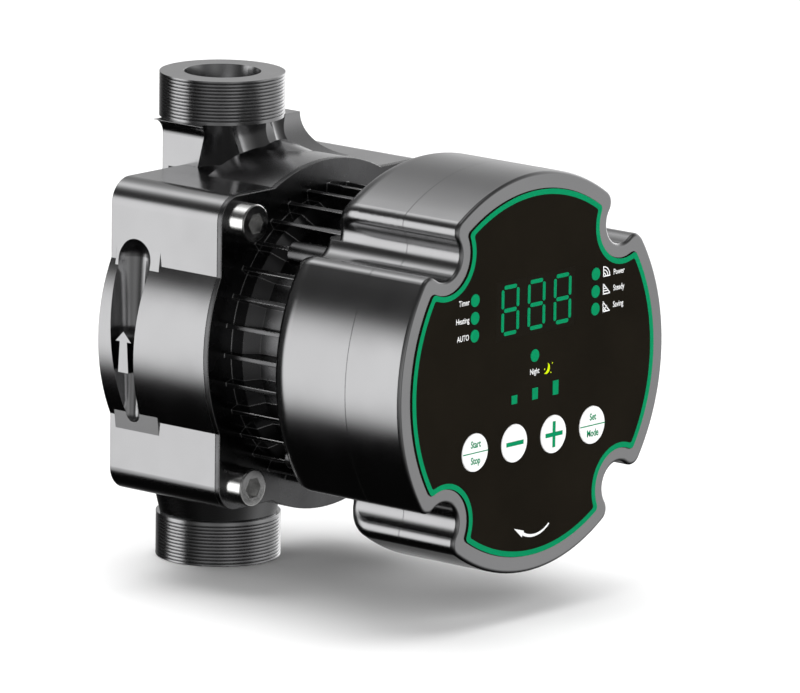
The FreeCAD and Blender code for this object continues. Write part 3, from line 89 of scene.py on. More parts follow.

# %% [markdown]
# ## A way to write materials
# A material in Blender is a graph of small nodes. Every finish here starts from the same few
# ideas, so they are written once: a noise read in object coordinates, so that the grain keeps its
# real size in metres; a ramp that turns the noise into two tones; a bump; and a soft edge. The
# soft edge is Cycles' Bevel node. It bends the shading across a sharp edge, as the small radius on
# a cast or moulded part does, and where its normal leaves the true one there is an edge. That is
# where paint and polish wear, and where the metals are also painted lighter as a painted highlight.


# %% Helpers for node graphs
class Finish:
    """A material under construction: the node tree, its main shader and short ways to add to it."""

    def __init__(self, name, colour, metallic=0.0, roughness=0.5, **sockets):
        self.material = bpy.data.materials.new(name)
        self.material.use_nodes = True
        self.tree = self.material.node_tree
        self.shader = self.tree.nodes["Principled BSDF"]
        self.colour = (*colour, 1.0)
        self.shader.inputs["Base Color"].default_value = self.colour
        self.shader.inputs["Metallic"].default_value = metallic
        self.shader.inputs["Roughness"].default_value = roughness
        for socket, value in sockets.items():
            self.shader.inputs[socket.replace("_", " ")].default_value = value
        self.place = self.add("ShaderNodeTexCoord").outputs["Object"]

    def add(self, kind, **settings):
        """A new node with some of its properties set."""
        node = self.tree.nodes.new(kind)
        for setting, value in settings.items():
            setattr(node, setting, value)
        return node

    def link(self, source, target):
        self.tree.links.new(source, target)

    def stretched(self, scale):
        """Object coordinates multiplied by a scale along X, Y and Z."""
        node = self.add("ShaderNodeMapping")
        node.inputs["Scale"].default_value = scale
        self.link(self.place, node.inputs["Vector"])
        return node.outputs["Vector"]

    def noise(self, size, detail=3.0, along=None):
        """Cloudy noise with lumps about size metres across, drawn out along an axis if asked."""
        node = self.add("ShaderNodeTexNoise")
        node.inputs["Scale"].default_value = 1 / size
        node.inputs["Detail"].default_value = detail
        self.link(self.stretched(along) if along else self.place, node.inputs["Vector"])
        return node.outputs["Fac"]

    def spread(self, source, low, high, from_low=0.3, from_high=0.7):
        """A number moved from one range to another, clamped at both ends."""
        node = self.add("ShaderNodeMapRange")
        for socket, value in zip(
            ("From Min", "From Max", "To Min", "To Max"), (from_low, from_high, low, high)
        ):
            node.inputs[socket].default_value = value
        self.link(source, node.inputs["Value"])
        return node.outputs["Result"]

    def blend(self, amount, first, second):
        """Two colours mixed by a number from 0 to 1. Each is a colour or another node's output."""
        node = self.add("ShaderNodeMix", data_type="RGBA")
        self.link(amount, node.inputs["Factor"])
        for socket, value in zip(("A", "B"), (first, second)):
            target = [s for s in node.inputs if s.name == socket and s.type == "RGBA"][0]
            if isinstance(value, tuple):
                target.default_value = value
            else:
                self.link(value, target)
        return [s for s in node.outputs if s.type == "RGBA"][0]

    def math(self, operation, first, second):
        """One sum on two numbers. Each is a plain number or another node's output."""
        node = self.add("ShaderNodeMath", operation=operation)
        for socket, value in zip(node.inputs, (first, second)):
            if isinstance(value, (int, float)):
                socket.default_value = value
            else:
                self.link(value, socket)
        return node.outputs["Value"]

    def shades(self, spread=0.12, size=0.02):
        """The base colour drifting a little lighter and darker over patches of that size."""
        dark = tuple(c * (1 - spread) for c in self.colour[:3]) + (1.0,)
        light = tuple(min(c * (1 + spread), 1.0) for c in self.colour[:3]) + (1.0,)
        self.tone = self.blend(self.spread(self.noise(size), 0, 1), dark, light)
        self.link(self.tone, self.shader.inputs["Base Color"])

    def gloss(self, low, high, size=0.004, along=None):
        """Roughness drifting between two values."""
        self.rough = self.spread(self.noise(size, along=along), low, high)
        self.link(self.rough, self.shader.inputs["Roughness"])

    def edges(self, radius):
        """Rounds the shading of sharp edges. Returns a number, 0 on a flat and 1 on an edge."""
        soft = self.add("ShaderNodeBevel", samples=6)
        soft.inputs["Radius"].default_value = radius
        flat = self.add("ShaderNodeNewGeometry")
        dot = self.add("ShaderNodeVectorMath", operation="DOT_PRODUCT")
        self.link(soft.outputs["Normal"], dot.inputs[0])
        self.link(flat.outputs["Normal"], dot.inputs[1])
        self.soft = soft.outputs["Normal"]
        self.link(self.soft, self.shader.inputs["Normal"])
        return self.spread(dot.outputs["Value"], 1, 0, 0.75, 0.995)

    def grain(self, height, depth, strength=0.5):
        """Bump from a height pattern, depth in metres, over the rounded normal if there is one."""
        node = self.add("ShaderNodeBump")
        node.inputs["Strength"].default_value = strength
        node.inputs["Distance"].default_value = depth
        self.link(height, node.inputs["Height"])
        if hasattr(self, "soft"):
            self.link(self.soft, node.inputs["Normal"])
        self.link(node.outputs["Normal"], self.shader.inputs["Normal"])


FINISHES = {}


def finish(slot, *args, **kwargs):
    """Starts the finish of one of the record's material slots and keeps it by that slot's name."""
    made = Finish(slot + "_finish", *args, **kwargs)
    FINISHES[slot] = made.material
    return made


# %% [markdown]
# ## The pump casting
# The casting is coated in a satin grey that looks like steel: it mirrors light softly, a little
# cloudy, with a fine pebble left by the mould. Edges have rounded shading and are painted lighter,
# partly as wear and partly as a painted highlight.

# %% Casting, box and motor metals
casting = finish("housing_metal", (0.4, 0.4, 0.405), metallic=1.0, roughness=0.2)
casting.shades(0.03, 0.03)
casting.gloss(0.18, 0.23, 0.012)
edge_wear_and_highlight = casting.edges(0.00012)
# Painted highlight: the edges are painted lighter, partly as wear and partly as the light a rounded
# edge catches.
casting.link(
    casting.blend(casting.math("MULTIPLY", edge_wear_and_highlight, 0.4), casting.tone, (0.68, 0.68, 0.68, 1)),
    casting.shader.inputs["Base Color"],
)
casting.grain(casting.noise(0.0005, 1.0), 0.000003, 0.2)

box_coat = finish("box_grey", (0.4, 0.4, 0.405), metallic=1.0, roughness=0.19)
box_coat.shades(0.03, 0.03)
box_coat.gloss(0.17, 0.22, 0.012)
edge_wear_and_highlight = box_coat.edges(0.00012)
# Painted highlight: the box edges are painted lighter, partly as wear and partly as the light a
# rounded edge catches.
box_coat.link(
    box_coat.blend(box_coat.math("MULTIPLY", edge_wear_and_highlight, 0.25), box_coat.tone, (0.62, 0.62, 0.62, 1)),
    box_coat.shader.inputs["Base Color"],
)
box_coat.grain(box_coat.noise(0.0005, 1.0), 0.0000025, 0.2)

motor = finish("motor_black", (0.15, 0.15, 0.153), metallic=1.0, roughness=0.28)
motor.shades(0.15, 0.01)
motor.gloss(0.24, 0.31, 0.006)
edge_wear_and_highlight = motor.edges(0.0005)
# Painted highlight: the fin crests and the flange rim are painted light grey as bright lines of
# light.
motor.link(
    motor.blend(motor.math("MULTIPLY", edge_wear_and_highlight, 0.9), motor.tone, (0.8, 0.8, 0.8, 1)),
    motor.shader.inputs["Base Color"],
)
motor.grain(motor.noise(0.0005, 2.0), 0.000004, 0.2)
print("coats:", sorted(FINISHES))

# %% [markdown]
# ## Bright steel, rubber, ceramic and the wet end
# Screws are zinc plated, so they are light and fairly sharp in their reflections, with turning
# marks. Hidden parts get the same care, because the lid may come off: ground ceramic, glass-filled
# resin with fine fibres, sintered ferrite, stacked steel sheets seen as thin lines, and enamelled
# wire seen as close turns.

# %% Screws and pressed steel
for slot, colour, low, high in (
    ("screw_steel", (0.9, 0.9, 0.89), 0.16, 0.26),
    ("stainless", (0.62, 0.62, 0.6), 0.22, 0.34),
):
    steel = finish(slot, colour, metallic=1.0, roughness=low)
    steel.shades(0.06, 0.004)
    steel.gloss(low, high, 0.0008)
    steel.edges(0.0002)
    steel.grain(steel.noise(0.0012, 2.0, along=(1, 12, 1)), 0.00002, 0.25)

# %% Rubber, pads, ceramic and resins
for slot, colour, low, high, pebble in (
    ("rubber_black", (0.02, 0.02, 0.02), 0.6, 0.8, 0.0003),
    ("pad_grey", (0.42, 0.44, 0.47), 0.6, 0.75, 0.0006),
    ("ceramic", (0.85, 0.83, 0.78), 0.15, 0.28, 0.0008),
    ("ceramic_shaft", (0.8, 0.79, 0.76), 0.1, 0.2, 0.0008),
    ("impeller_resin", (0.5, 0.44, 0.3), 0.38, 0.55, 0.0004),
    ("resin_dark", (0.05, 0.05, 0.055), 0.38, 0.55, 0.0005),
    ("terminal_green", (0.08, 0.3, 0.16), 0.35, 0.5, 0.0005),
    ("capacitor_sleeve", (0.03, 0.04, 0.1), 0.2, 0.3, 0.001),
):
    moulded = finish(slot, colour, roughness=low)
    moulded.shades(0.12, 0.006)
    moulded.gloss(low, high, 0.002)
    moulded.edges(0.0002)
    moulded.grain(moulded.noise(pebble, 2.0), 0.00003, 0.35)

# %% Magnet, steel sheets, wire and circuit board
magnet = finish("magnet", (0.13, 0.13, 0.14), metallic=0.7, roughness=0.45)
magnet.shades(0.2, 0.002)
magnet.gloss(0.4, 0.6, 0.001)
magnet.grain(magnet.noise(0.0005, 3.0), 0.00004, 0.5)

sheets = finish("lamination", (0.34, 0.33, 0.32), metallic=1.0, roughness=0.35)
sheets.shades(0.15, 0.004)
sheets.gloss(0.3, 0.45, 0.002)
bands = sheets.add("ShaderNodeTexWave", bands_direction="Y")
bands.inputs["Scale"].default_value = 320.0
sheets.link(sheets.place, bands.inputs["Vector"])
sheets.grain(bands.outputs["Fac"], 0.00005, 0.6)

wire = finish("copper", (0.68, 0.28, 0.11), metallic=1.0, roughness=0.25)
wire.shades(0.15, 0.003)
wire.gloss(0.2, 0.35, 0.001)
turns = wire.add("ShaderNodeTexWave", bands_direction="DIAGONAL")
turns.inputs["Scale"].default_value = 420.0
wire.link(wire.place, turns.inputs["Vector"])
wire.grain(turns.outputs["Fac"], 0.0001, 0.8)

board = finish("board_green", (0.02, 0.16, 0.06), roughness=0.3)
tracks = board.add("ShaderNodeTexBrick")
for socket, value in (("Scale", 260.0), ("Mortar Size", 0.03), ("Brick Width", 0.9)):
    tracks.inputs[socket].default_value = value
tracks.inputs["Color1"].default_value = (0.015, 0.12, 0.05, 1)
tracks.inputs["Color2"].default_value = (0.03, 0.2, 0.08, 1)
tracks.inputs["Mortar"].default_value = (0.05, 0.3, 0.12, 1)
turned = board.add("ShaderNodeMapping")
turned.inputs["Rotation"].default_value = (math.pi / 2, 0, 0)
board.link(board.place, turned.inputs["Vector"])
board.link(turned.outputs["Vector"], tracks.inputs["Vector"])
board.link(tracks.outputs["Color"], board.shader.inputs["Base Color"])
board.gloss(0.22, 0.35, 0.003)
board.grain(tracks.outputs["Fac"], 0.00003, 0.4)

# %% [markdown]
# ## The dark panel and what shows in it
# The panel is a satin black film, the window over the figures is the same film left smoother, and
# the lamps and figures are green light guides lying flush in it. Key caps are white plastic.

# %% Panel, window, lamps and key caps
film = finish(
    "panel_black", (0.0096, 0.0076, 0.0048), roughness=0.45, Specular_IOR_Level=0.02
)
film.shades(0.12, 0.02)
film.gloss(0.38, 0.47, 0.006)
film.grain(film.noise(0.0003, 2.0), 0.00001, 0.15)

smoke = finish(
    "window_smoke", (0.0094, 0.0075, 0.0048), roughness=0.4, Specular_IOR_Level=0.03
)
smoke.shades(0.08, 0.02)
smoke.gloss(0.34, 0.4, 0.01)

lit = finish("lit_green", (0.0, 0.236, 0.094), roughness=0.4, Specular_IOR_Level=0.03)
lit.shades(0.04, 0.002)
lit.gloss(0.3, 0.4, 0.001)
lit.grain(lit.noise(0.0004, 1.0), 0.00001, 0.2)

cap = finish("key_white", (0.9, 0.9, 0.9), roughness=0.4)
cap.shades(0.02, 0.004)
cap.gloss(0.35, 0.48, 0.001)
cap.edges(0.0002)
cap.grain(cap.noise(0.0003, 1.0), 0.00001, 0.25)

# %% Give every node of the frame its finish
for name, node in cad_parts.items():
    for socket in node.material_slots:
        slot = socket.material.name.split(".")[0]
        if slot in FINISHES:
            socket.material = FINISHES[slot]
        else:
            print("no finish for", name, slot)
print("finishes:", len(FINISHES))

# %% [markdown]
# ## Printing on the panel
# A print is a thin layer of ink. Each mark is a sheet worked out as a grid of points on the face
# of the panel and then given a twentieth of a millimetre of thickness, towards the reader.

# %% Inks
INK_DEPTH = 0.05 * MM


def ink(name, colour):
    """A satin ink: its colour drifts a little and its surface is finely uneven."""
    made = Finish(name, colour, roughness=0.45, Specular_IOR_Level=0.03)
    made.shades(0.03, 0.002)
    made.gloss(0.35, 0.46, 0.001)
    made.grain(made.noise(0.0002, 1.0), 0.000005, 0.2)
    return made.material


WHITE_INK = ink("white_ink", (0.88, 0.88, 0.88))
GREEN_INK = ink("green_ink", (0.0, 0.236, 0.094))
MOON_INK = ink("moon_ink", (0.6, 0.75, 0.0))


# %% Sheets of ink from grids of points
def sheet_of_ink(name, grids, material, body="casing", face=None):
    """One piece from several grids of (across, up) points in millimetres from the motor's axis.

    A grid is an array of rows by columns by 2. Each cell becomes a four-sided face that looks
    towards -Y, and the whole sheet is thickened by INK_DEPTH on that side.
    """
    face = FACE if face is None else face
    points, faces, start = [], [], 0
    for grid in grids:
        grid = np.asarray(grid, float)
        rows, columns = grid.shape[:2]
        flat = np.empty((rows * columns, 3))
        flat[:, 0] = grid[..., 0].ravel() * MM
        flat[:, 1] = face
        flat[:, 2] = grid[..., 1].ravel() * MM + AXIS
        index = np.arange(rows * columns).reshape(rows, columns) + start
        quads = np.stack(
            (index[:-1, :-1], index[:-1, 1:], index[1:, 1:], index[1:, :-1]), -1
        ).reshape(-1, 4)
        a, b, c = flat[quads[:, 0] - start], flat[quads[:, 1] - start], flat[quads[:, 2] - start]
        away = np.cross(b - a, c - a)[:, 1] > 0
        quads[away] = quads[away][:, ::-1]
        points.append(flat)
        faces.append(quads)
        start += rows * columns
    mesh = bpy.data.meshes.new(name)
    mesh.from_pydata(np.concatenate(points), [], np.concatenate(faces).tolist())
    mesh.materials.append(material)
    piece = bpy.data.objects.new(name, mesh)
    bpy.context.scene.collection.objects.link(piece)
    merge(piece)
    thick = piece.modifiers.new("ink_depth", "SOLIDIFY")
    thick.thickness = INK_DEPTH
    thick.offset = 1.0
    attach(piece, body)
    print(name, "faces", len(mesh.polygons))
    return piece


def merge(piece):
    """Joins points that lie on each other, which closes rings and the poles of discs."""
    import bmesh

    work = bmesh.new()
    work.from_mesh(piece.data)
    bmesh.ops.remove_doubles(work, verts=work.verts, dist=0.002 * MM)
    work.to_mesh(piece.data)
    work.free()


# %% Strokes: a width carried along a path
def stroke(path, width, closed=False):
    """Grid of the two sides of a stroke. At each point of the path the sides stand half a width
    away along the path's normal, which is its direction turned by a quarter."""
    path = np.asarray(path, float)
    if closed:
        path = np.concatenate((path, path[:1]))
        step = np.roll(path[:-1], -1, 0) - np.roll(path[:-1], 1, 0)
        step = np.concatenate((step, step[:1]))
    else:
        step = np.gradient(path, axis=0)
    step /= np.linalg.norm(step, axis=1, keepdims=True)
    normal = np.stack((-step[:, 1], step[:, 0]), 1)
    half = np.broadcast_to(np.asarray(width, float) / 2, (len(path),))[:, None]
    return np.stack((path - normal * half, path + normal * half), 1)


def line(start, end, width):
    """Straight stroke between two points."""
    return stroke(np.linspace(start, end, 2), width)


def arc(centre, radius, first, last, count=32):
    """Points of an arc: the centre plus the radius times cosine and sine, angles in degrees."""
    turn = np.radians(np.linspace(first, last, count))
    return np.asarray(centre) + radius * np.stack((np.cos(turn), np.sin(turn)), 1)


# %% [markdown]
# ## The green line
# A line about a millimetre and a half wide follows the edge of the panel. The panel is a disc with
# four round bites, so the line is worked out the same way: an arc of the disc, a small round
# corner, and an arc of the bite, once for an eighth of the turn and then mirrored and turned.


# %% Outline of a disc with four round bites
def bitten_disc(radius, bite, corner, reach, count=(10, 8, 14)):
    """Closed outline with the same number of points for any sizes.

    The bite's centre lies at distance reach along a diagonal. A corner circle touches the disc
    from inside and the bite from outside, so the cosine rule in the triangle of the three centres
    gives the angle at which it stands.
    """
    near = radius - corner
    turn = math.acos((reach**2 + near**2 - (bite + corner) ** 2) / (2 * reach * near))
    centre = near * np.array((math.cos(turn), math.sin(turn)))
    hollow = np.array((reach, 0.0))
    towards = math.degrees(math.atan2(*(centre - hollow)[::-1]))
    parts = (
        arc(hollow, bite, 180, towards, count[0])[:-1],
        arc(centre, corner, towards - 180, math.degrees(turn), count[1])[:-1],
        arc((0, 0), radius, math.degrees(turn), 45, count[2]),
    )
    eighth = np.concatenate(parts)
    mirrored = eighth[::-1] * (1, -1)
    side = np.concatenate((mirrored, eighth[1:]))[:-1]
    quarters = []
    for quarter in range(4):
        angle = math.radians(45 + 90 * quarter)
        c, s = math.cos(angle), math.sin(angle)
        quarters.append(side @ np.array(((c, s), (-s, c))))
    return np.concatenate(quarters)


REACH = 35 * math.sqrt(2)
PANEL_RADIUS = (PANEL_HIGH.x - PANEL_LOW.x) / 2 / MM
PANEL_BITE, PANEL_CORNER = 9.8, 1.4
BORDER, INSET = 1.4, 0.05
outer = bitten_disc(PANEL_RADIUS - INSET, PANEL_BITE + INSET, PANEL_CORNER, REACH)
inner = bitten_disc(
    PANEL_RADIUS - INSET - BORDER, PANEL_BITE + INSET + BORDER, PANEL_CORNER * 0.6, REACH
)
ring_of_points = np.stack((outer, inner), 1)
ring_of_points = np.concatenate((ring_of_points, ring_of_points[:1]))
sheet_of_ink("panel_border", [ring_of_points], GREEN_INK)

# %% [markdown]
# ## Small signs
# Beside the lamps stand small pressure curves: two axes and a few falling lines. Under the night
# lamp is a moon, and near the foot an arrow shows which way the rotor turns.


# %% Pressure curve signs
SIGN = 2.7
AXIS_WIDTH, CURVE_WIDTH = 0.3, 0.26


def curve_sign(x, z, kind):
    """An upright and a level axis from a corner at (x, z), with lines that fall between them."""
    strokes = [
        line((x, z), (x, z + SIGN), AXIS_WIDTH),
        line((x - AXIS_WIDTH / 2, z), (x + SIGN, z), AXIS_WIDTH),
    ]
    if kind == "round":
        strokes += [stroke(arc((x, z), r, 3, 87, 16), CURVE_WIDTH) for r in (0.9, 1.7, 2.5)]
    elif kind == "level":
        strokes += [
            line((x, z + rise), (x + SIGN - rise, z + rise), CURVE_WIDTH)
            for rise in (0.75, 1.4, 2.05)
        ]
        strokes.append(line((x, z + SIGN), (x + SIGN, z), CURVE_WIDTH))
    else:
        strokes += [
            line((x, z + rise), (x + rise * 0.95, z + 0.15), CURVE_WIDTH) for rise in (1.3, 2.5)
        ]
        strokes.append(line((x + 0.1, z + 0.1), (x + 1.5, z + 1.5), CURVE_WIDTH))
    return strokes


SIGN_SIDE = 27.1
SIGN_FEET = {"round": 21.45, "level": 16.8, "falling": 12.15}
signs = []
for kind, foot in SIGN_FEET.items():
    signs += curve_sign(SIGN_SIDE, foot, kind)
sheet_of_ink("curve_signs", signs, WHITE_INK)

# %% Moon and stars
def bow(start, end, bulge, count=17):
    """Points of an arc between two ends that stands out by bulge to the left of the way there.

    Half the chord h and the bulge s give the radius (h squared + s squared) / 2 s.
    """
    start, end = np.asarray(start, float), np.asarray(end, float)
    half = np.linalg.norm(end - start) / 2
    radius = (half**2 + bulge**2) / (2 * bulge)
    along = (end - start) / (2 * half)
    out = np.array((-along[1], along[0]))
    centre = (start + end) / 2 + out * (bulge - radius)
    reach = math.atan2(half, radius - bulge)
    turn = np.linspace(-reach, reach, count)[:, None]
    return centre + radius * (np.cos(turn) * out + np.sin(turn) * along)


horns = (5.2, 1.95), (3.8, -0.75)
moon = np.stack((bow(*horns, 1.6), bow(*horns, 0.7)), 1)
stars = [
    np.array([[(x - 0.22, z), (x, z - 0.22)], [(x, z + 0.22), (x + 0.22, z)]])
    for x, z in ((4.0, 0.4), (7.05, 1.6), (6.5, -0.8))
]
sheet_of_ink("night_moon", [moon, *stars], MOON_INK)

# %% Turning arrow
sweep = bow((6.65, -40.7), (-3.6, -41.9), 1.55, 24)
head = np.array([[(-7.2, -40.0), (-7.2, -40.0)], [(-3.3, -41.1), (-4.1, -42.7)]])
sheet_of_ink(
    "turning_arrow", [stroke(sweep, np.linspace(0.45, 0.85, 24)), head], WHITE_INK,
)

# %% [markdown]
# ## Marks on the keys
# The marks are printed on the caps, so each rides on its own key and moves with it.

# %% Minus, plus and the dividing lines
def key_marks(name, strokes, material=GREEN_INK):
    """Prints strokes, drawn about the key's own middle, on the cap of that key."""
    x, z, face = key_place(name)
    offset = np.array((x / MM, z / MM))
    grids = [grid + offset for grid in strokes]
    return sheet_of_ink(name + "_mark", grids, material, body=name + "_key", face=face)


BAR = 1.15
key_marks("minus", [line((-3.4, 0), (3.4, 0), BAR)])
key_marks(
    "plus",
    [
        line((-3.4, 0), (3.4, 0), BAR),
        line((0, BAR / 2), (0, 3.45), BAR),
        line((0, -3.45), (0, -BAR / 2), BAR),
    ],
)
DIVIDER = line((-4.9, 0), (4.9, 0), 0.28)


# %% [markdown]
# The two outer keys carry plain words above and below a line. A word is drawn with Blender's own
# letters, made into a mesh, and only then carried to its place, so that the object stays at the
# origin.

# %% Words
def word(name, text, x, z, height, body="casing", material=WHITE_INK,
         face=None, narrow=0.78, align="CENTER", weight=0.007):
    """Letters of that height in millimetres, centred on a point of the panel. The weight is how
    far, for each unit of height, their outlines are moved outwards."""
    face = FACE if face is None else face
    letters = bpy.data.curves.new(name + "_letters", "FONT")
    letters.body = text
    letters.size = height * MM
    letters.align_x = align
    letters.align_y = "CENTER"
    letters.resolution_u = 4
    letters.offset = height * MM * weight
    holder = bpy.data.objects.new(name + "_holder", letters)
    bpy.context.scene.collection.objects.link(holder)
    bpy.context.view_layer.update()
    mesh = bpy.data.meshes.new_from_object(holder.evaluated_get(
        bpy.context.evaluated_depsgraph_get()))
    bpy.data.objects.remove(holder)
    bpy.data.curves.remove(letters)
    place = Matrix.Translation((x * MM, face, AXIS + z * MM)) @ Matrix.Rotation(
        math.pi / 2, 4, "X") @ Matrix.Diagonal((narrow, 1, 1, 1))
    mesh.transform(place)
    mesh.materials.clear()
    mesh.materials.append(material)
    mesh.name = name
    piece = bpy.data.objects.new(name, mesh)
    bpy.context.scene.collection.objects.link(piece)
    merge(piece)
    thick = piece.modifiers.new("ink_depth", "SOLIDIFY")
    thick.thickness = INK_DEPTH
    thick.offset = 1.0
    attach(piece, body)
    return piece


for name, upper, lower in (("start_stop", "Start", "Stop"), ("set", "Set", "Mode")):
    key_marks(name, [DIVIDER])
    x, z, face = key_place(name)
    for part, text, lift in (("upper", upper, 2.15), ("lower", lower, -2.15)):
        word(f"{name}_{part}", text, x / MM, z / MM + lift, 2.6, name + "_key", GREEN_INK,
             face, weight=0.02)

# %% [markdown]
# Each lamp has a short plain word beside it. Words on the left end at the lamps, and words on the
# right start after the curve signs.

# %% Words beside the lamps
LABELS = (
    ("label_timer", "Timer", -26.2, 22.4, "RIGHT"),
    ("label_heating", "Heating", -26.2, 17.8, "RIGHT"),
    ("label_auto", "AUTO", -26.2, 13.2, "RIGHT"),
    ("label_power", "Power", 31.1, 22.0, "LEFT"),
    ("label_steady", "Steady", 31.1, 17.8, "LEFT"),
    ("label_saving", "Saving", 31.1, 13.4, "LEFT"),
    ("label_night", "Night", 1.9, 0.4, "RIGHT"),
)
for name, text, x, z, side in LABELS:
    word(name, text, x, z, 2.15, align=side)
print("words:", len(LABELS) + 4)

# %% [markdown]
# ## Floor, light and camera
# The pump stands on a wide pale floor in soft studio light. Satin grey metal shows mostly what
# it mirrors, so the world is painted as a dark studio: a flat soft screen low on the pump's
# left, a bright patch low on its right, smaller ones high behind it, weak ones elsewhere for its
# back and top, and black ground. That gives the metal its long soft streaks. The camera itself
# sees plain white there.

# %% Floor
floor_mesh = bpy.data.meshes.new("floor")
reach_out = 6.0
floor_mesh.from_pydata(
    [(-reach_out, -reach_out, 0), (reach_out, -reach_out, 0), (reach_out, reach_out, 0),
     (-reach_out, reach_out, 0)], [], [(0, 1, 2, 3)])
floor = bpy.data.objects.new("floor", floor_mesh)
bpy.context.scene.collection.objects.link(floor)
pale = Finish("pale_floor", (0.96, 0.96, 0.96), roughness=0.9)
pale.shades(0.01, 0.3)
floor_mesh.materials.append(pale.material)
floor.visible_glossy = False
floor.location.z = CAD_BOX[0][2] - 0.0002

# %% World as a studio
world = bpy.data.worlds.new("studio")
bpy.context.scene.world = world
world.use_nodes = True
wt = world.node_tree
wt.nodes.clear()


def sky(kind, **settings):
    node = wt.nodes.new(kind)
    for setting, value in settings.items():
        setattr(node, setting, value)
    return node


def sum_of(operation, first, second):
    """One sum on two numbers in the world's graph."""
    node = sky("ShaderNodeMath", operation=operation)
    for socket, value in zip(node.inputs, (first, second)):
        if isinstance(value, (int, float)):
            socket.default_value = value
        else:
            wt.links.new(value, socket)
    return node.outputs["Value"]


view_way = sky("ShaderNodeTexCoord").outputs["Generated"]
parts = sky("ShaderNodeSeparateXYZ")


def glow(direction, width, strength):
    """A soft lamp in the sky: strength times exp(-(angle term) / width), where the angle term is
    one minus the cosine of the angle from the direction."""
    way = Vector(direction).normalized()
    dot = sky("ShaderNodeVectorMath", operation="DOT_PRODUCT")
    wt.links.new(view_way, dot.inputs[0])
    dot.inputs[1].default_value = way
    fall = sum_of("DIVIDE", sum_of("SUBTRACT", dot.outputs["Value"], 1.0), width)
    return sum_of("MULTIPLY", sum_of("EXPONENT", fall, 0), strength)


wt.links.new(view_way, parts.inputs[0])


def screen(direction, inner, outer, strength):
    """A flat soft screen in the sky: full strength up to inner degrees from the direction, and
    nothing past outer degrees, with a smooth edge between."""
    dot = sky("ShaderNodeVectorMath", operation="DOT_PRODUCT")
    wt.links.new(view_way, dot.inputs[0])
    dot.inputs[1].default_value = Vector(direction).normalized()
    edge = sky("ShaderNodeMapRange", interpolation_type="SMOOTHSTEP")
    ends = (math.cos(math.radians(outer)), math.cos(math.radians(inner)), 0.0, strength)
    for socket, value in zip(("From Min", "From Max", "To Min", "To Max"), ends):
        edge.inputs[socket].default_value = value
    wt.links.new(dot.outputs["Value"], edge.inputs["Value"])
    return edge.outputs["Result"]


GROUND_LIGHT, SKY_LIGHT = 0.004, 0.05
FADE_FROM, FADE_TO = -0.45, 0.15
SCREEN_WAY, SCREEN_INNER, SCREEN_OUTER, SCREEN_LIGHT = (-0.72, 0.69, -0.05), 11, 26, 1.5
GLOWS = {
    "left": ((-0.94, -0.34, -0.05), 0.07, 0.3),
    "front left": ((-0.42, -0.90, -0.10), 0.07, 0.4),
    "right": ((0.98, 0.03, 0.17), 0.09, 1.6),
    "low right": ((0.95, 0.31, 0.05), 0.03, 2.4),
    "back right": ((0.69, 0.62, 0.37), 0.05, 0.25),
    "front right": ((0.64, -0.76, -0.14), 0.12, 0.6),
    "high behind": ((-0.05, 0.64, 0.77), 0.03, 1.35),
    "high back right": ((0.37, 0.53, 0.77), 0.03, 0.5),
    "low back right": ((0.68, 0.69, -0.25), 0.05, 0.42),
    "overhead": ((0.0, -0.26, 0.97), 0.04, 0.35),
}
open_sky = sky("ShaderNodeMapRange", interpolation_type="SMOOTHSTEP")
for socket, value in zip(
    ("From Min", "From Max", "To Min", "To Max"), (FADE_FROM, FADE_TO, GROUND_LIGHT, SKY_LIGHT)
):
    open_sky.inputs[socket].default_value = value
wt.links.new(parts.outputs["Z"], open_sky.inputs["Value"])
light = open_sky.outputs["Result"]
for direction, width, strength in GLOWS.values():
    light = sum_of("ADD", light, glow(direction, width, strength))
light = sum_of("ADD", light, screen(SCREEN_WAY, SCREEN_INNER, SCREEN_OUTER, SCREEN_LIGHT))
print("patches of light in the sky:", len(GLOWS) + 1)

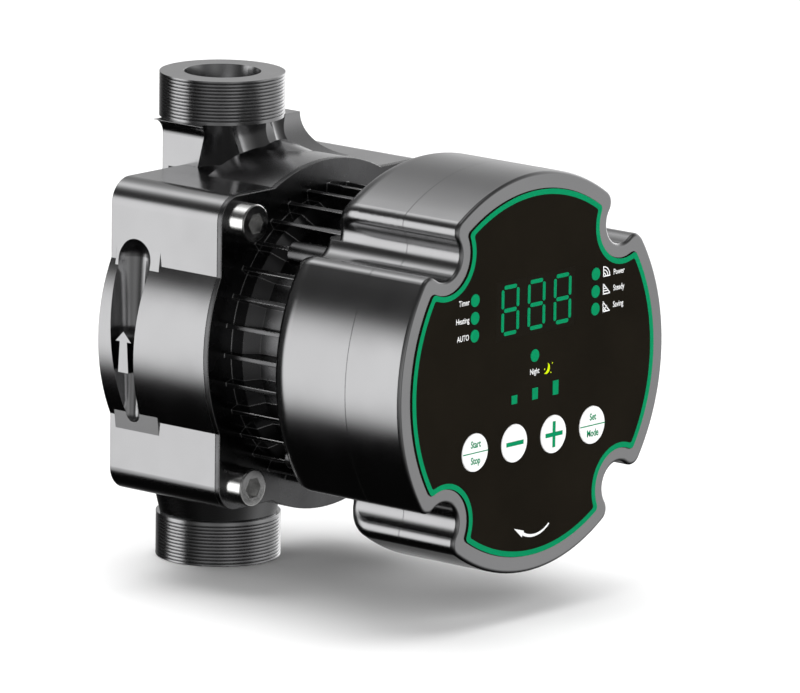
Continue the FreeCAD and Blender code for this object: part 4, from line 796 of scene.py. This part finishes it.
mirrored_light = sky("ShaderNodeBackground")
wt.links.new(light, mirrored_light.inputs["Color"])
plain_white = sky("ShaderNodeBackground")
plain_white.inputs["Color"].default_value = (1, 1, 1, 1)
plain_white.inputs["Strength"].default_value = 1.0
rays = sky("ShaderNodeLightPath")
choice = sky("ShaderNodeMixShader")
wt.links.new(rays.outputs["Is Camera Ray"], choice.inputs["Fac"])
wt.links.new(mirrored_light.outputs[0], choice.inputs[1])
wt.links.new(plain_white.outputs[0], choice.inputs[2])
out = sky("ShaderNodeOutputWorld")
wt.links.new(choice.outputs[0], out.inputs["Surface"])


# %% Lamps
def soft_lamp(name, place, target, size, power):
    """A square area lamp at a place, turned to look at a target."""
    data = bpy.data.lights.new(name, "AREA")
    data.size = size
    data.energy = power
    lamp = bpy.data.objects.new(name, data)
    lamp.location = place
    lamp.rotation_mode = "QUATERNION"
    lamp.rotation_quaternion = (Vector(target) - Vector(place)).to_track_quat("-Z", "Y")
    bpy.context.scene.collection.objects.link(lamp)
    lamp.visible_glossy = False
    return lamp


MIDDLE = (0.0, -0.05, AXIS)
soft_lamp("front_lamp", (-0.5, -1.6, 0.9), MIDDLE, 1.2, 20)
soft_lamp("side_lamp", (-1.6, 0.1, 0.8), MIDDLE, 1.2, 10)
soft_lamp("top_lamp", (0.2, 0.2, 2.2), MIDDLE, 2.4, 60)

# %% Camera
AZIMUTH, ELEVATION, ROLL = math.radians(49.127), math.radians(11.869), math.radians(0.764)
FAR, ASIDE, LIFT = 2.7228, 0.047626, -0.008298
back = Vector((
    -math.sin(AZIMUTH) * math.cos(ELEVATION),
    -math.cos(AZIMUTH) * math.cos(ELEVATION),
    math.sin(ELEVATION),
))
right = Vector((math.cos(AZIMUTH), -math.sin(AZIMUTH), 0))
up = back.cross(right)
rolled_right = right * math.cos(ROLL) + up * math.sin(ROLL)
rolled_up = up * math.cos(ROLL) - right * math.sin(ROLL)
eye = back * FAR + right * ASIDE + up * LIFT
camera_data = bpy.data.cameras.new("camera")
camera_data.sensor_width = 36
camera_data.lens = 463.7
camera_data.clip_start, camera_data.clip_end = 0.1, 100
camera = bpy.data.objects.new("camera", camera_data)
bpy.context.scene.collection.objects.link(camera)
camera.matrix_world = Matrix((
    (rolled_right.x, rolled_up.x, back.x, eye.x),
    (rolled_right.y, rolled_up.y, back.y, eye.y),
    (rolled_right.z, rolled_up.z, back.z, eye.z + AXIS),
    (0, 0, 0, 1),
))
bpy.context.scene.camera = camera
bpy.context.scene.view_settings.view_transform = "Standard"
